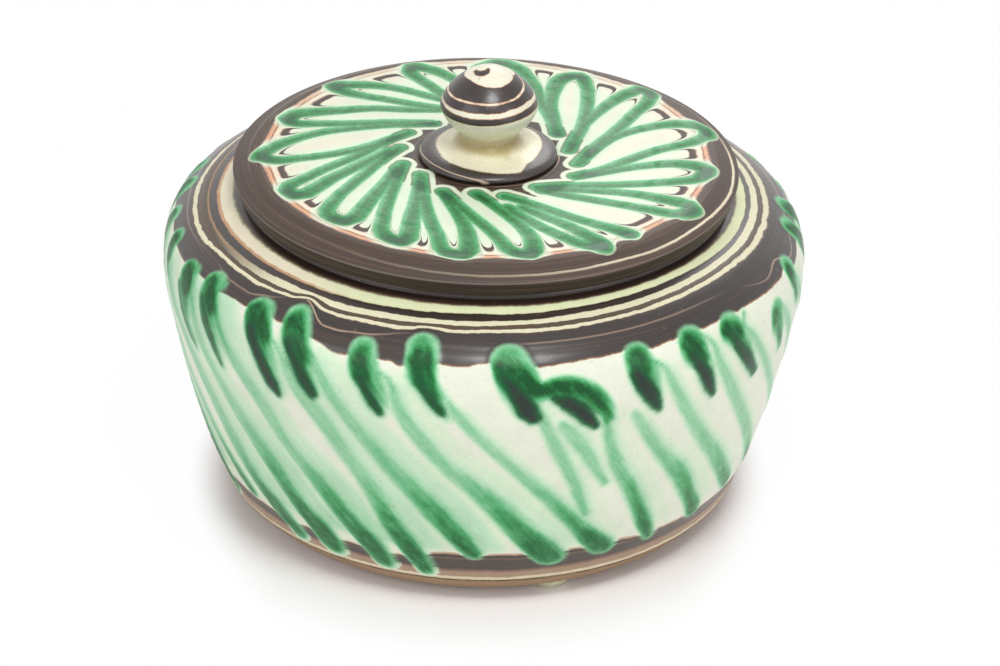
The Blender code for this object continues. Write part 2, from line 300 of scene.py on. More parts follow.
# Trailed strokes: each point is (degrees, millimetres up the wall, radius), and a limb's last value is how
# much green it carries. The core is the deep green in the head, the coal is the charcoal under it.
strokes = (
    {"angle": -77, "wash": 0.45, "coalStrength": 0.3,
     "head": ((-78, 83.2, 3.8), (-78, 82, 3.8), (-77, 78, 3.6), (-74.5, 73.2, 3.2)),
     "limb": ((-76.8, 80, 2.2, 0.6), (-75.2, 76, 2.8, 0.5), (-72.2, 70, 3.3, 0.3), (-67.3, 62, 3.3, 0.3),
              (-60.1, 50, 3.2, 0.33), (-56.3, 42, 3.5, 0.45), (-53.9, 36, 3.7, 0.5), (-51.3, 30, 3.7, 0.55),
              (-48.6, 25, 3.8, 0.6), (-45.4, 20, 4.1, 0.62), (-43.6, 17, 4.1, 0.64), (-41, 12.2, 3.2, 0.66)),
     "core": ((-78, 83, 2.2), (-77, 79, 2)),
     "coal": ((-77.5, 78, 1), (-76, 73, 1))},
    {"angle": -67.6, "wash": 0.45, "coalStrength": 0.35,
     "head": ((-65.8, 81, 5), (-65, 76, 5.3), (-64.2, 72, 4.1), (-63.2, 68, 3.3), (-61.2, 64.7, 2.7)),
     "limb": ((-62.8, 82, 1.5, 0.6), (-61.5, 76, 1.8, 0.5), (-59.7, 70, 2.1, 0.42), (-57, 63, 2.3, 0.4),
              (-54.5, 58, 2.4, 0.4), (-50.7, 51.6, 2.9, 0.38), (-46.6, 44.8, 3.8, 0.5),
              (-44.5, 41, 4.4, 0.55), (-43.3, 38.5, 4.5, 0.6), (-41.3, 34, 4.1, 0.66), (-38.9, 28, 3.8, 0.7),
              (-36.6, 23.5, 4, 0.72), (-33.7, 18.5, 4.6, 0.75), (-32.6, 16, 4.7, 0.75),
              (-32, 13.5, 4.5, 0.7)),
     "core": ((-66.5, 82.5, 2.5), (-64.7, 79, 2.6)),
     "coal": ((-68, 77, 1.2), (-65.5, 70, 1.6), (-63, 65, 1.6), (-61.3, 62.5, 1))},
    {"angle": -59, "wash": 0.45, "coalStrength": 0.55,
     "head": ((-57.4, 84.8, 4.4), (-57.4, 82, 4.4), (-56.1, 78, 4.7), (-54.8, 74, 4.5), (-53.3, 71, 3.4),
              (-52.1, 67, 2.6), (-51.5, 64.3, 1.3)),
     "limb": ((-55.5, 84, 1.8, 0.7), (-54, 80, 2.1, 0.65), (-52.1, 76, 2.1, 0.6), (-49.7, 72, 2.2, 0.5),
              (-47.1, 68, 2.5, 0.38), (-43.6, 62, 2.9, 0.36), (-41.3, 57, 2.8, 0.36), (-38.4, 50, 2.5, 0.38),
              (-35.8, 45, 2.6, 0.45), (-32.9, 40, 3.3, 0.56), (-29.6, 34, 3.9, 0.64), (-27.3, 29, 4.1, 0.7),
              (-25, 24, 4, 0.7), (-22.8, 20, 4.3, 0.7), (-21.4, 17, 4.2, 0.7), (-20, 12.6, 3.6, 0.66)),
     "core": ((-58.5, 85, 1.6), (-56.5, 82, 2.2), (-54.8, 79, 1.8)),
     "coal": ((-58.5, 80, 1.2), (-56.5, 75, 1.9), (-54.5, 71, 1.9), (-52.8, 66.5, 1.4), (-51.8, 64, 1))},
    {"angle": -44.7, "wash": 0.4, "coalStrength": 0.85,
     "head": ((-43.6, 85, 5), (-42.5, 81, 5.3), (-41.2, 78, 4.9), (-39.8, 74.5, 4.9), (-38.4, 71, 4.2),
              (-37.3, 66.5, 3.5), (-37, 64.4, 1.6)),
     "limb": ((-36.5, 78, 1.2, 0.5), (-34.3, 73, 2.2, 0.42), (-32.3, 69, 2.8, 0.38), (-29.8, 64, 3, 0.36),
              (-28, 60, 3, 0.36), (-26, 55, 2.8, 0.36), (-24, 50, 2.6, 0.4), (-22, 45, 2.6, 0.42),
              (-20.3, 40, 2.9, 0.5), (-18.8, 35, 3.2, 0.6), (-17.4, 30, 3.5, 0.68), (-15.8, 25, 3.6, 0.72),
              (-13.9, 20, 3.5, 0.74), (-12.1, 15, 3.2, 0.72), (-11, 11.2, 2.5, 0.7)),
     "core": ((-45, 84.5, 2.8), (-40, 80.5, 2)),
     "coal": ((-44, 80.5, 1.8), (-42.2, 76, 2), (-40, 71, 2.2), (-38.3, 67, 2.3), (-37.2, 64.5, 1.3))},
    {"angle": -36.1, "wash": 0.4, "coalStrength": 0.85,
     "head": ((-35.8, 88.8, 3.8), (-35.1, 86, 4.5), (-34, 82, 5), (-32.7, 79, 4.3), (-31.6, 76, 4.6),
              (-30.6, 72, 4.3), (-29.6, 69, 2.7), (-29.2, 67.8, 1.3)),
     "limb": ((-30, 80, 1.2, 0.55), (-28, 75, 1.7, 0.4), (-25.8, 70, 2, 0.36), (-23.5, 65, 2.2, 0.38),
              (-21.2, 60, 2.5, 0.44), (-18.7, 55, 2.8, 0.48), (-16.2, 50, 3.1, 0.5), (-13.6, 45, 3.5, 0.52),
              (-11.1, 40, 3.8, 0.6), (-8.5, 35, 4, 0.68), (-6.1, 30, 3.8, 0.72), (-3.8, 25, 3.5, 0.75),
              (-1.6, 20.1, 2.9, 0.7)),
     "core": ((-36, 86, 2.6), (-34, 82, 3), (-31.8, 79, 2.4)),
     "coal": ((-35.2, 81, 1.6), (-33.5, 77, 1.9), (-31.3, 72, 1.9), (-29.6, 68.6, 1.6))},
    {"angle": -21.5, "wash": 0.25, "coalStrength": 0.75,
     "head": ((-21.1, 84.6, 4), (-20.2, 79, 4.8), (-18.6, 75, 4.5), (-17.6, 71, 4.3), (-17.1, 67.1, 1.3)),
     "limb": ((-15.6, 78, 1.1, 0.6), (-14.1, 72, 1.7, 0.45), (-12.3, 66, 2.2, 0.44), (-9.9, 60, 2.5, 0.46),
              (-6.6, 53, 2.4, 0.46), (-4.8, 50, 2.6, 0.46), (-2, 46, 3, 0.5), (1.6, 40, 3.6, 0.6),
              (5.1, 33, 3.8, 0.68), (8.3, 27, 4.1, 0.72), (11.8, 21, 4.6, 0.74), (13.8, 17.6, 4.6, 0.65)),
     "core": ((-21.5, 81.5, 2.2), (-20.8, 78.5, 2)),
     "coal": ((-20.8, 77.5, 1.6), (-19.3, 73.5, 1.5), (-18, 70, 1.5), (-17.2, 67.5, 1.2))},
    {"angle": -11.5, "wash": 0.12, "coalStrength": 0.7,
     "head": ((-10.7, 87.9, 4.6), (-10.5, 86, 4.7), (-10.2, 81, 4.6), (-8.9, 77, 3.6), (-7.2, 73, 3.6),
              (-5.5, 68.8, 1.8)),
     "limb": ((-4.8, 72, 1.6, 0.5), (-2.9, 68, 1.7, 0.42), (1.1, 60, 1.7, 0.4), (5, 53, 1.7, 0.42),
              (8.4, 47, 1.9, 0.48), (12.2, 40, 2.3, 0.56), (15.5, 34, 2.6, 0.64), (18.9, 28, 3, 0.7),
              (22.2, 22, 3.6, 0.74), (24.8, 18.1, 4.1, 0.62)),
     "core": ((-10.6, 84, 3), (-9.6, 79, 3.2), (-8, 75.5, 1.8)),
     "coal": ((-11, 80.5, 1.3), (-9.6, 76.5, 1.7), (-8, 73, 1.6), (-6.6, 70, 1.3))},
    {"angle": 3.3, "wash": 0.12, "coalStrength": 0.95,
     "head": ((4.8, 84.8, 5.4), (5.5, 82, 5.8), (6.3, 79, 6.2), (7.2, 75.5, 5.4), (7.8, 71.5, 4.3),
              (8.5, 68.3, 1.3)),
     "limb": ((9.9, 72, 1.1, 0.5), (10.2, 70, 1.3, 0.45), (12.6, 60, 1.9, 0.46), (15.5, 50, 1.8, 0.44),
              (16.9, 45, 1.7, 0.44), (18.1, 40, 1.6, 0.5), (19.3, 35, 1.5, 0.56), (20, 32.4, 1.4, 0.6)),
     "core": ((3, 82, 2.6), (5, 80.5, 3), (7.5, 79, 2.6), (9, 77, 2)),
     "coal": ((3.5, 81, 1), (5.2, 78, 1.8), (6.6, 74.5, 2.3), (7.8, 71, 2.7), (8.7, 68.8, 2.1))},
    {"angle": 14, "wash": 0.15, "coalStrength": 0.9,
     "head": ((9.6, 75.6, 2.6), (11.5, 76.8, 3.4), (14.4, 77, 3.9), (17.4, 75, 4.2), (19.8, 72, 3.8),
              (21.4, 69, 3), (22.4, 65.5, 2)),
     "limb": ((21.4, 68, 1, 0.6), (21.6, 66, 1.2, 0.55), (22.4, 60, 1.7, 0.52), (23.4, 55, 1.9, 0.5),
              (24.7, 50, 2.2, 0.5), (26.3, 45, 2.3, 0.52), (28.2, 40, 2.5, 0.6), (29.9, 35, 2.5, 0.68),
              (31.6, 30, 2.6, 0.72), (33.3, 25, 2.7, 0.75), (35.1, 20, 2.4, 0.74), (36.6, 15.9, 1.9, 0.65)),
     "core": ((10, 77.5, 1.6), (16, 77, 1.7), (18.5, 75, 1.6), (20, 72.5, 1.5), (21, 69, 1.2),
              (21.7, 66, 1)),
     "coal": ((12.5, 74, 1.2), (14.5, 72.4, 2.2), (16.6, 70, 2.5), (18.2, 67, 2.3), (19.6, 64.2, 1.4))},
    {"angle": 16, "wash": 0.1,
     "limb": ((14, 66, 1.9, 0.5), (15, 64, 2.1, 0.42), (17.7, 58, 2.3, 0.38), (19.9, 52, 1.9, 0.3),
              (22, 46, 1.3, 0.18), (23, 43.1, 1.1, 0.1))},
    {"angle": 27.7, "wash": 0.12, "coalStrength": 0.9,
     "head": ((27.6, 81.9, 4.4), (28, 79, 4.8), (28.8, 76, 4.7), (29.8, 72.5, 4), (30.6, 69, 3),
              (31.6, 64.6, 1)),
     "limb": ((32.4, 78, 1.1, 0.6), (34, 73, 1.4, 0.45), (35.6, 68, 1.7, 0.4), (38.7, 60, 2, 0.42),
              (40.8, 55, 2.2, 0.42), (43.1, 50, 2.3, 0.44), (45.7, 45, 2.4, 0.46), (48.5, 40, 2.7, 0.5),
              (51.3, 35, 3, 0.56), (54.2, 30, 3, 0.62), (57, 25, 3, 0.66), (60.2, 19.9, 2.9, 0.6)),
     "core": ((27.5, 81.5, 2.6), (28, 79.5, 2.4)),
     "coal": ((27, 77.5, 2), (28.2, 74, 2.5), (29.6, 70.5, 2.4), (31, 67, 1.9), (31.8, 64.8, 1))},
    {"angle": 28, "wash": 0.15,
     "limb": ((27, 66, 1.3, 0.2), (29.2, 60, 1.6, 0.28), (31.3, 55, 1.9, 0.36), (33.6, 50, 2.1, 0.4),
              (36.2, 45, 2.5, 0.46), (39, 40, 3.1, 0.6), (41.4, 35, 3.2, 0.68), (43.5, 30, 2.9, 0.7),
              (45.7, 25, 2.8, 0.72), (48, 20, 3, 0.7), (48.8, 18, 3, 0.66))},
    {"angle": 39.1, "wash": 0.1, "coalStrength": 0.9,
     "head": ((38.9, 81.7, 4.8), (39.2, 79, 4.9), (40.4, 76, 3.9), (41.9, 71.5, 3.3), (42.8, 67.5, 2.7),
              (43.6, 64, 1.7), (44.2, 62.9, 1)),
     "limb": ((43.2, 80, 1.1, 0.6), (44.6, 74, 1.4, 0.5), (46.3, 69, 1.7, 0.42), (50.1, 60, 2.1, 0.42),
              (54.8, 50, 2.3, 0.44), (60, 40, 2.4, 0.46), (65.5, 30, 2.7, 0.55), (70.3, 22, 2.9, 0.6),
              (72.5, 18.9, 2.9, 0.58)),
     "core": ((38.2, 81.5, 2.4), (39.5, 79, 2.2), (41, 76, 1.2)),
     "coal": ((38.5, 78.5, 1.3), (39.7, 75, 1.7), (41.4, 70.5, 2.1), (42.8, 66.5, 2), (44, 63.2, 1.2))},
    {"angle": 48.1, "wash": 0.12, "coalStrength": 0.8,
     "head": ((48.6, 80.1, 5.1), (50.1, 76, 3.8), (51.8, 72, 3.7), (53.3, 68, 3.1), (54.9, 64.5, 2.4),
              (56.6, 62.5, 1.9)),
     "limb": ((52, 80, 1.2, 0.6), (54.5, 74, 1.4, 0.45), (57.3, 68, 1.4, 0.38), (60.4, 62, 1.5, 0.36),
              (64.2, 55, 1.6, 0.38), (68.2, 48, 1.6, 0.4), (72.2, 41, 1.7, 0.42), (76.4, 34, 1.9, 0.48),
              (81.2, 26, 2.1, 0.55), (84.5, 20, 2.2, 0.6), (85.5, 18.1, 2.1, 0.58)),
     "core": ((46.5, 80.8, 1.8), (50.5, 78, 1.3)),
     "coal": ((48, 79, 1), (50, 74, 1.9), (52, 70, 2), (54, 66, 1.9), (56, 62, 1.5))},
    {"angle": 61.8, "wash": 0.25, "coalStrength": 0.35,
     "head": ((63.1, 75.8, 4.2), (63.1, 73, 4.2), (64.1, 70, 3.5), (65.3, 66, 2.6), (67, 62, 1.5)),
     "limb": ((65.2, 76, 1.6, 0.4), (68.1, 70, 1.6, 0.35), (73.4, 60, 1.9, 0.35), (78.8, 50, 2.2, 0.38),
              (84.2, 40, 2.6, 0.45), (89.6, 30, 2.9, 0.55), (93.8, 22, 3.2, 0.6), (95.2, 19.2, 3.2, 0.58)),
     "core": ((61.5, 75.5, 1.8), (61.8, 74.5, 1.6)),
     "coal": ((62.5, 73, 1.2), (64.5, 68, 1.5), (66.5, 62, 1.2))},
    {"angle": 71.8, "wash": 0.25, "coalStrength": 0.35,
     "head": ((72.5, 82.4, 3.9), (72.9, 78, 3.5), (73.8, 74, 2.7), (75.1, 69.8, 1.8)),
     "limb": ((73.8, 80, 1.6, 0.55), (76.1, 74, 1.6, 0.45), (79.7, 66, 1.9, 0.38), (84.8, 56, 2.1, 0.38),
              (90.1, 46, 2.5, 0.42), (95.6, 36, 2.8, 0.52), (101, 26, 3.1, 0.6), (105.8, 17.1, 3.1, 0.6)),
     "core": ((71.6, 81.5, 1.6), (72, 80, 1.6)),
     "coal": ((72, 78, 1.2), (73.5, 72, 1.2))},
)

# The side turned away: the same strokes again, each shifted to its own place with a little play
awayStrokes = {
    "first": 82.5, "step": 10.6, "count": 19, "order": (2, 3, 12, 5, 13, 4, 6, 10),
    "anglePlay": 1.3, "heightPlay": 0.9, "seed": 41,
}

# How the green lies. Pairs are where a thing starts and where it is full, in millimetres.
stains = {
    "window": (18, 42, 4, 99),      # a stroke's middle and half width in degrees, its lowest and highest mark
    "settle": (0.25, 0.3, 30, 75),      # strokes sit this much higher, and this much more from 30 to 75 up
    "wallHeights": (0, 8, 20, 40, 62, 75, 90),
    "perDegree": (1.24, 1.31, 1.4, 1.51, 1.57, 1.56, 1.45),     # millimetres round the wall at those heights
    "headGreen": 0.71, "headThin": 0.56, "headFull": (0, 3.0),
    "headTrailing": 0.8, "headSide": (-0.2, 1.0),       # how crisp the trailing side of a head stays
    "tailBlur": 1.3, "headTail": (3, 17),       # heads soften towards their tails
    "linkTurn": 1.2, "linkRise": 2.5, "linkWidth": 0.5,     # a limb starts inside its head
    "limbWidening": 0.62, "limbThin": 0.63, "limbThick": 1.01, "limbFull": (-0.3, 2.0),
    "limbTrailing": 0.42, "limbSide": (-0.3, 1.1),      # the trailing side of a limb fades
    "limbBlur": 1.55, "blurHeights": (19, 32),      # its edges are softer than a head's, till it thickens
    "limbBegins": (-6.5, 2.5), "limbHeld": 1.2,
    "washReach": 5.0, "washSide": (0.4, 1.4), "washFull": (-3.5, 2.5), "washHeights": (18, 22),
    "washGreen": 0.85,      # pale green beyond the trailing side
    "coreGreen": 0.42, "coreFull": (-2.0, 1.9),
    "coalFull": (-2.0, 2.4), "coalEdge": (0.42, 0.7), "coalGreen": 0.82, "coalGreenFull": (-2.4, 1.2),
    "pooledGrey": 0.34, "pooledHeights": (-40, -16), "pooledFull": (-0.1, 2.4),     # limbs thicken low down
    "raised": (-0.8, 1.4),      # where a stroke starts to stand proud and where it is at its full rise
}

# Dark specks in the glaze: degrees, millimetres up, radius
specks = ((-6.8, 66, 0.3), (-3.2, 69, 0.3), (-3, 66, 0.25), (2.8, 70, 0.22), (26, 66.5, 0.35), (58, 77, 0.4),
          (44.5, 48.5, 0.4), (22, 49, 0.3), (9, 31, 0.4))


def jarOutline():
    form = jarForm
    ringInside = form["footRadius"] - form["ringWidth"]
    footFlat = form["footRadius"] - form["footRound"]
    bandTop = form["footRadius"] + form["bandFlare"]
    wallStart = (bandTop + form["footFlare"], form["footBand"] + form["grooveWidth"])
    groove = (bandTop - form["grooveDepth"], form["footBand"] + form["grooveWidth"] / 2)
    underside = straights([
        (0, form["recess"]), (ringInside - form["recessRun"], form["recess"]), (ringInside, 0), (footFlat, 0),
    ], form["undersideGaps"])
    foot = joined(arc((footFlat, form["footRound"]), form["footRound"], 270, 360, 3), straights([
        (form["footRadius"], form["footRound"]), (bandTop, form["footBand"]), groove, wallStart,
    ], form["footGaps"]))
    belly = (form["bellyRadius"], form["bellyHeight"])
    shoulderEnd = (form["shoulderRadius"], form["seatHeight"] - form["shoulderDrop"])
    outside = placed(wallShares, wallStart, belly) + placed(shoulderShares, belly, shoulderEnd)[1:]
    wall = evenly(curveThrough(outside, 16), form["wallGap"])
    lipFoot = form["seatHeight"] - form["lipHeight"]
    lipTop = form["seatHeight"] - form["lipRound"]
    lipMiddle = form["mouthRadius"] + form["lipRound"]
    lip = joined(
        arc((form["shoulderRadius"] - form["lipRound"], lipTop), form["lipRound"], 0, 90, 4),
        arc((lipMiddle, lipTop), form["lipRound"], 90, 180, 3),
        arc((lipMiddle, lipFoot + form["lipRound"]), form["lipRound"], 180, 270, 3),
    )
    innerBelly = (form["bellyRadius"] - form["wall"], form["bellyHeight"])
    inside = placed(wallShares, (form["floorCorner"], form["floor"]), innerBelly)
    inside += placed(shoulderShares, innerBelly, (lipMiddle, lipFoot))[1:]
    potFloor = [(form["floorCorner"] * 0.6, form["floor"]), (0, form["floor"])]
    return joined(underside, foot, wall, lip, inside[::-1], potFloor), -runOf(underside)[-1] / perMillimetre


def onWall(stations, angle, widening=0.0):
    # stations with degrees as millimetres round the wall from an angle, at each one's height
    line = []
    for degrees, height, radius, *green in stations:
        scale = float(np.interp(height, stains["wallHeights"], stains["perDegree"]))
        line.append(((degrees - angle) * scale, height, radius + widening, *green))
    return line


def addStroke(fields, stroke, angle, along, perDegree):
    # degrees become millimetres at each point's height, from the stroke's own angle
    middle, halfWidth, lowest, highest = stains["window"]
    turn = (angle - stroke["shift"] - stroke["angle"] + 180) % 360 - 180
    chosen = np.flatnonzero((np.abs(turn - middle) < halfWidth) & (along > lowest) & (along < highest))
    always, higherUp, *settleHeights = stains["settle"]
    up = along[chosen] - stroke["rise"] - always - higherUp * easeStep(along[chosen], *settleHeights)
    across = turn[chosen] * perDegree[chosen]
    limb = stroke["limb"]
    if "head" in stroke:
        head = [(*station, stains["headGreen"]) for station in onWall(stroke["head"], stroke["angle"])]
        reach, side, carried = lineReach(across, up, curveThrough(head))
        crisp = between(1, stains["headTrailing"], easeStep(side, *stains["headSide"]))
        tail = easeStep(stroke["head"][0][1] - up, *stains["headTail"])
        edge = reach * crisp / (1 + stains["tailBlur"] * tail)
        keepMost(fields["inkReach"], chosen, edge)
        full = easeStep(edge, *stains["headFull"])
        keepMost(fields["inkDepth"], chosen, carried * between(stains["headThin"], 1, full))
        place, height, size = stroke["head"][len(stroke["head"]) // 2 - 1]
        height = max(height, limb[0][1] + stains["linkRise"])
        limb = ((place + stains["linkTurn"], height, size * stains["linkWidth"], limb[0][3]), *limb)
    line = onWall(limb, stroke["angle"], stains["limbWidening"])
    reach, side, carried = lineReach(across, up, curveThrough(line))
    blur = between(1, stains["limbBlur"], easeStep(up, *stains["blurHeights"]))
    begun = easeStep(stroke["limb"][0][1] - up, *stains["limbBegins"])
    edge = reach * between(1, stains["limbTrailing"], easeStep(side, *stains["limbSide"])) / blur
    edge -= stains["limbHeld"] * (1 - begun)
    keepMost(fields["inkReach"], chosen, edge)
    full = easeStep(edge, *stains["limbFull"])
    keepMost(fields["inkDepth"], chosen, carried * between(stains["limbThin"], stains["limbThick"], full))
    wash = easeStep(reach + stains["washReach"] * easeStep(side, *stains["washSide"]), *stains["washFull"])
    wash *= begun * easeStep(up, *stains["washHeights"])
    keepMost(fields["inkWash"], chosen, stains["washGreen"] * stroke["wash"] * carried * wash)
    pooled = easeStep(-up, *stains["pooledHeights"]) * easeStep(edge, *stains["pooledFull"])
    keepMost(fields["coal"], chosen, stains["pooledGrey"] * pooled)
    if "core" in stroke:
        reach = lineReach(across, up, onWall(stroke["core"], stroke["angle"]))[0]
        core = stains["coreGreen"] * easeStep(reach, *stains["coreFull"])
        fields["inkDepth"][chosen] += core * (fields["inkReach"][chosen] > -1)
        reach = lineReach(across, up, onWall(stroke["coal"], stroke["angle"]))[0]
        keepMost(fields["coal"], chosen, stroke["coalStrength"] * easeStep(reach, *stains["coalFull"]))
        share, wider = stains["coalEdge"]
        keepMost(fields["inkReach"], chosen, share * (reach + wider))
        keepMost(fields["inkDepth"], chosen, stains["coalGreen"] * easeStep(reach, *stains["coalGreenFull"]))


def evenSlip(angle, along):
    # the height up the wall with the slip bands' wander taken out, so that each edge sits at its even height
    even = [0.0, 12.0] + [edge[0] for edge in slipEdges] + [104.0]
    real = [np.full(len(angle), height) for height in even]
    real[2:-1] = [roundTable(angle, edge[1]) for edge in slipEdges]
    slipHeight = along.copy()
    for lower, upper, evenLower, evenUpper in zip(real, real[1:], even, even[1:]):
        inside = (along >= lower) & (along < upper)
        share = (along - lower) / np.maximum(upper - lower, 1e-3)
        slipHeight = np.where(inside, between(evenLower, evenUpper, share), slipHeight)
    return slipHeight


def jarFields(angle, along, radius):
    perDegree = radius / perMillimetre * math.pi / 180
    fields = {name: np.zeros(len(angle)) for name in ("inkDepth", "inkWash", "coal")}
    fields["inkReach"] = np.full(len(angle), farAway)
    every = [dict(stroke, shift=0.0, rise=0.0) for stroke in strokes]
    play = np.random.default_rng(awayStrokes["seed"])
    for index in range(awayStrokes["count"]):
        stroke = strokes[awayStrokes["order"][index % len(awayStrokes["order"])]]
        place = awayStrokes["first"] + awayStrokes["step"] * index
        shift = place + play.uniform(-1, 1) * awayStrokes["anglePlay"] - stroke["angle"]
        every.append(dict(stroke, shift=shift, rise=play.uniform(-1, 1) * awayStrokes["heightPlay"]))
    for stroke in every:
        addStroke(fields, stroke, angle, along, perDegree)
    fields["inkDepth"] = np.clip(fields["inkDepth"], 0, 1)
    fields["speckReach"] = np.full(len(angle), farAway)
    for place, height, size in specks:
        speck = size - np.hypot((angle - place) * perDegree, along - height)
        fields["speckReach"] = np.maximum(fields["speckReach"], speck)
    fields["slipHeight"] = evenSlip(angle, along)
    fields["thread"] = along - roundTable(angle, slipThreads)
    fields["threadStrength"] = roundTable(angle, slipThreads, 2)
    return fields


def throwingWaves(angle, along):
    # a short ripple up the wall, stronger and weaker in long waves
    return np.sin(along * 1.9 + 0.6 * np.sin(np.radians(angle))) * (0.6 + 0.4 * np.sin(along * 0.37))


def jarMesh():
    form = jarForm
    outline, alongStart = jarOutline()
    mesh = turnedShape("jar_pot", outline, alongStart, form["sides"], heights["footRing"])
    spots = places(mesh)
    along = readFloats(mesh, "along")
    angle = degreesRound(spots[:, 0], spots[:, 1])
    fields = jarFields(angle, along, np.hypot(spots[:, 0], spots[:, 1]))
    start, full, ending, end = form["glazeRuns"]
    onWallOnly = easeStep(along, start, full) * easeStep(-along, -end, -ending)
    start, full, ending, end = form["bandRuns"]
    slip = easeStep(fields["slipHeight"], start, full) * (1 - easeStep(fields["slipHeight"], ending, end))
    rise = form["strokeRise"] * (easeStep(fields["inkReach"], *stains["raised"]) - 1)
    rise += form["slipRise"] * (slip - 1) + form["throwingRise"] * (throwingWaves(angle, along) - 1)
    raiseSurface(mesh, rise * onWallOnly)
    writeFloats(mesh, fields)
    return mesh


lidForm = {
    "radius": 0.0702, "edgeHeight": 0.005, "edgeTaper": 0.001, "edgeRound": 0.0008,
    "bandWidth": 0.0069, "bandRise": 0.0023, "bandMiddle": ((0.50, 0.55),), "thickness": 0.006,
    "flangeClearance": 0.0012, "flangeThickness": 0.0045, "flangeDepth": 0.0075, "flangeRound": 0.0014,
    "underKnob": 0.018, "sides": 648, "topGap": 0.0008, "wideGaps": (0.006, 0.003, 0.012),
    "strokeRise": 0.26,     # in millimetres, as are the next ones
    "loopRadius": 2.15, "tipWidening": 0.7, "tipSpan": 2.2,     # the span in stations of a loop's list
    "topRun": 72, "glazeRuns": (20, 21, 64, 68),
}

# Each loop of the trailed ring: its middle line in millimetres (right, back), from one inner end over its
# tip to the other, with the place of the tip in the list
lidLoops = (
    (6, ((-15, 18.8), (-27, 17.4), (-37, 15), (-47, 11.3), (-54, 6.5), (-60, 0.5), (-62.4, -4.2),
         (-59, -6.6), (-52, -5.2), (-42, -1.8), (-32, 4), (-27, 8.2), (-22, 12.6))),
    (4, ((-14, 28), (-22, 27.6), (-32, 28), (-42, 26), (-56.3, 20.4), (-55, 17.6), (-47, 17.2), (-37, 18),
         (-27, 19.2), (-16, 19.3))),
    (4, ((-13, 35), (-17, 37), (-27, 42), (-37, 43.6), (-44.3, 42.4), (-41, 38.7), (-35, 36), (-27, 33.5),
         (-20, 31), (-13, 29))),
    (3, ((-8, 46), (-11, 50), (-16, 54.6), (-22, 57), (-22.6, 53), (-20, 48.5), (-16, 43), (-12.5, 37),
         (-9, 28), (-7, 22))),
    (5, ((-8, 22), (-7, 30), (-6, 40), (-4, 50), (-1.6, 58), (3, 61), (8, 58.4), (11, 53), (14, 43),
         (16, 32), (18.5, 22), (20, 13.5))),
    (4, ((19.6, 14), (18.8, 24), (18, 33), (19, 43), (22, 51.4), (26.4, 53), (28.4, 47), (28.7, 37),
         (28, 27), (26.5, 17), (24, 8), (23, 3.2))),
    (4, ((27, 20), (30, 26), (34, 33), (39, 40), (45.5, 45), (47, 41.5), (46, 36), (42, 28.5), (38, 20),
         (34, 12.5), (30, 5.5), (27, -1), (25.2, -5))),
    (6, ((26, -4), (31, 6), (36, 13), (43, 18), (49, 20.8), (56, 22), (61.6, 20), (62, 15.5), (59, 11.4),
         (54, 8.2), (48, 5), (43, 1.2), (38, -3), (33, -7.4), (28, -10.8), (24.4, -12.6))),
    (5, ((25, -13), (32, -9.8), (39, -6.8), (46, -4.6), (53, -3.6), (61, -7), (58.5, -12.4), (53, -14.4),
         (46, -15.8), (38, -17), (28, -18), (20, -18.6), (14, -19.8))),
    (5, ((15, -20.6), (22, -20.6), (30, -21.2), (39, -22.4), (47, -25), (56, -30.5), (52.5, -34),
         (44, -31.8), (36, -29), (28, -26.4), (21, -24), (15.5, -21.6))),
    (6, ((5.2, -25.6), (10, -28.4), (16, -32.4), (23, -37.2), (30, -41.4), (35.5, -44.4), (38.6, -46.6))),
    (4, ((10, -32), (15, -36.4), (21, -41.4), (26.5, -47), (31.4, -54), (27, -53.4), (21, -49), (15, -43.4),
         (10, -37.6), (6, -32))),
    (5, ((-2.5, -24.4), (1.5, -30), (6, -37), (10, -44), (12.8, -52), (12, -59), (7.6, -58), (4, -51),
         (0, -43.5), (-4, -37), (-7.5, -31), (-11.6, -23.6))),
    (4, ((-11.4, -24), (-8.4, -33), (-6, -41), (-4.4, -50), (-5.4, -60), (-10, -59), (-12.4, -50),
         (-15, -39), (-16.8, -28), (-17.6, -19), (-18, -13.6))),
    (3, ((-17.8, -18), (-18.6, -29), (-19.6, -39), (-22, -53.6), (-26.6, -50), (-27.2, -40), (-26.2, -29),
         (-24.6, -18), (-23, -7.2))),
    (3, ((-24, -9), (-27, -18), (-31, -29), (-37.4, -42.4), (-42, -39), (-40.6, -30), (-37, -21.6),
         (-33, -13.6), (-29, -5), (-25, 1.6), (-24, 3))),
    (3, ((-27, 1), (-32, -5), (-42, -17), (-51.6, -27.6), (-54, -24.4), (-49, -17), (-43, -10), (-37, -4),
         (-32, 2), (-27, 8), (-22.4, 12.2))),
)

# Pools of thick green (millimetres right and back, radius)
lidPools = ((-61, -4.6, 2.6), (-55.5, 19.4, 2.4), (-43.5, 42.4, 2.4), (-22, 56.4, 2.2), (3, 61, 1.6),
            (25.5, 52.6, 3), (47, 43.4, 2.8), (61.6, 18, 2.2), (61.4, -8.4, 2.8), (56, -32, 3),
            (38, -46.4, 1.8), (30.8, -53.4, 3), (11.2, -59, 3.4), (-7, -60.4, 3.4), (-24, -53, 3.6),
            (-39, -42.6, 3.4), (-52.6, -27, 3), (-26, 9, 2.4), (-16, 19.2, 2), (20, 13.6, 2.2), (24.4, 6, 2),
            (29, 3, 2.4), (28, -11, 2), (19, -20, 2.2), (-1, -27, 2), (-10.6, -26, 2), (-17.8, -20, 2),
            (-24, -12, 2.2), (-25.6, -1, 2))

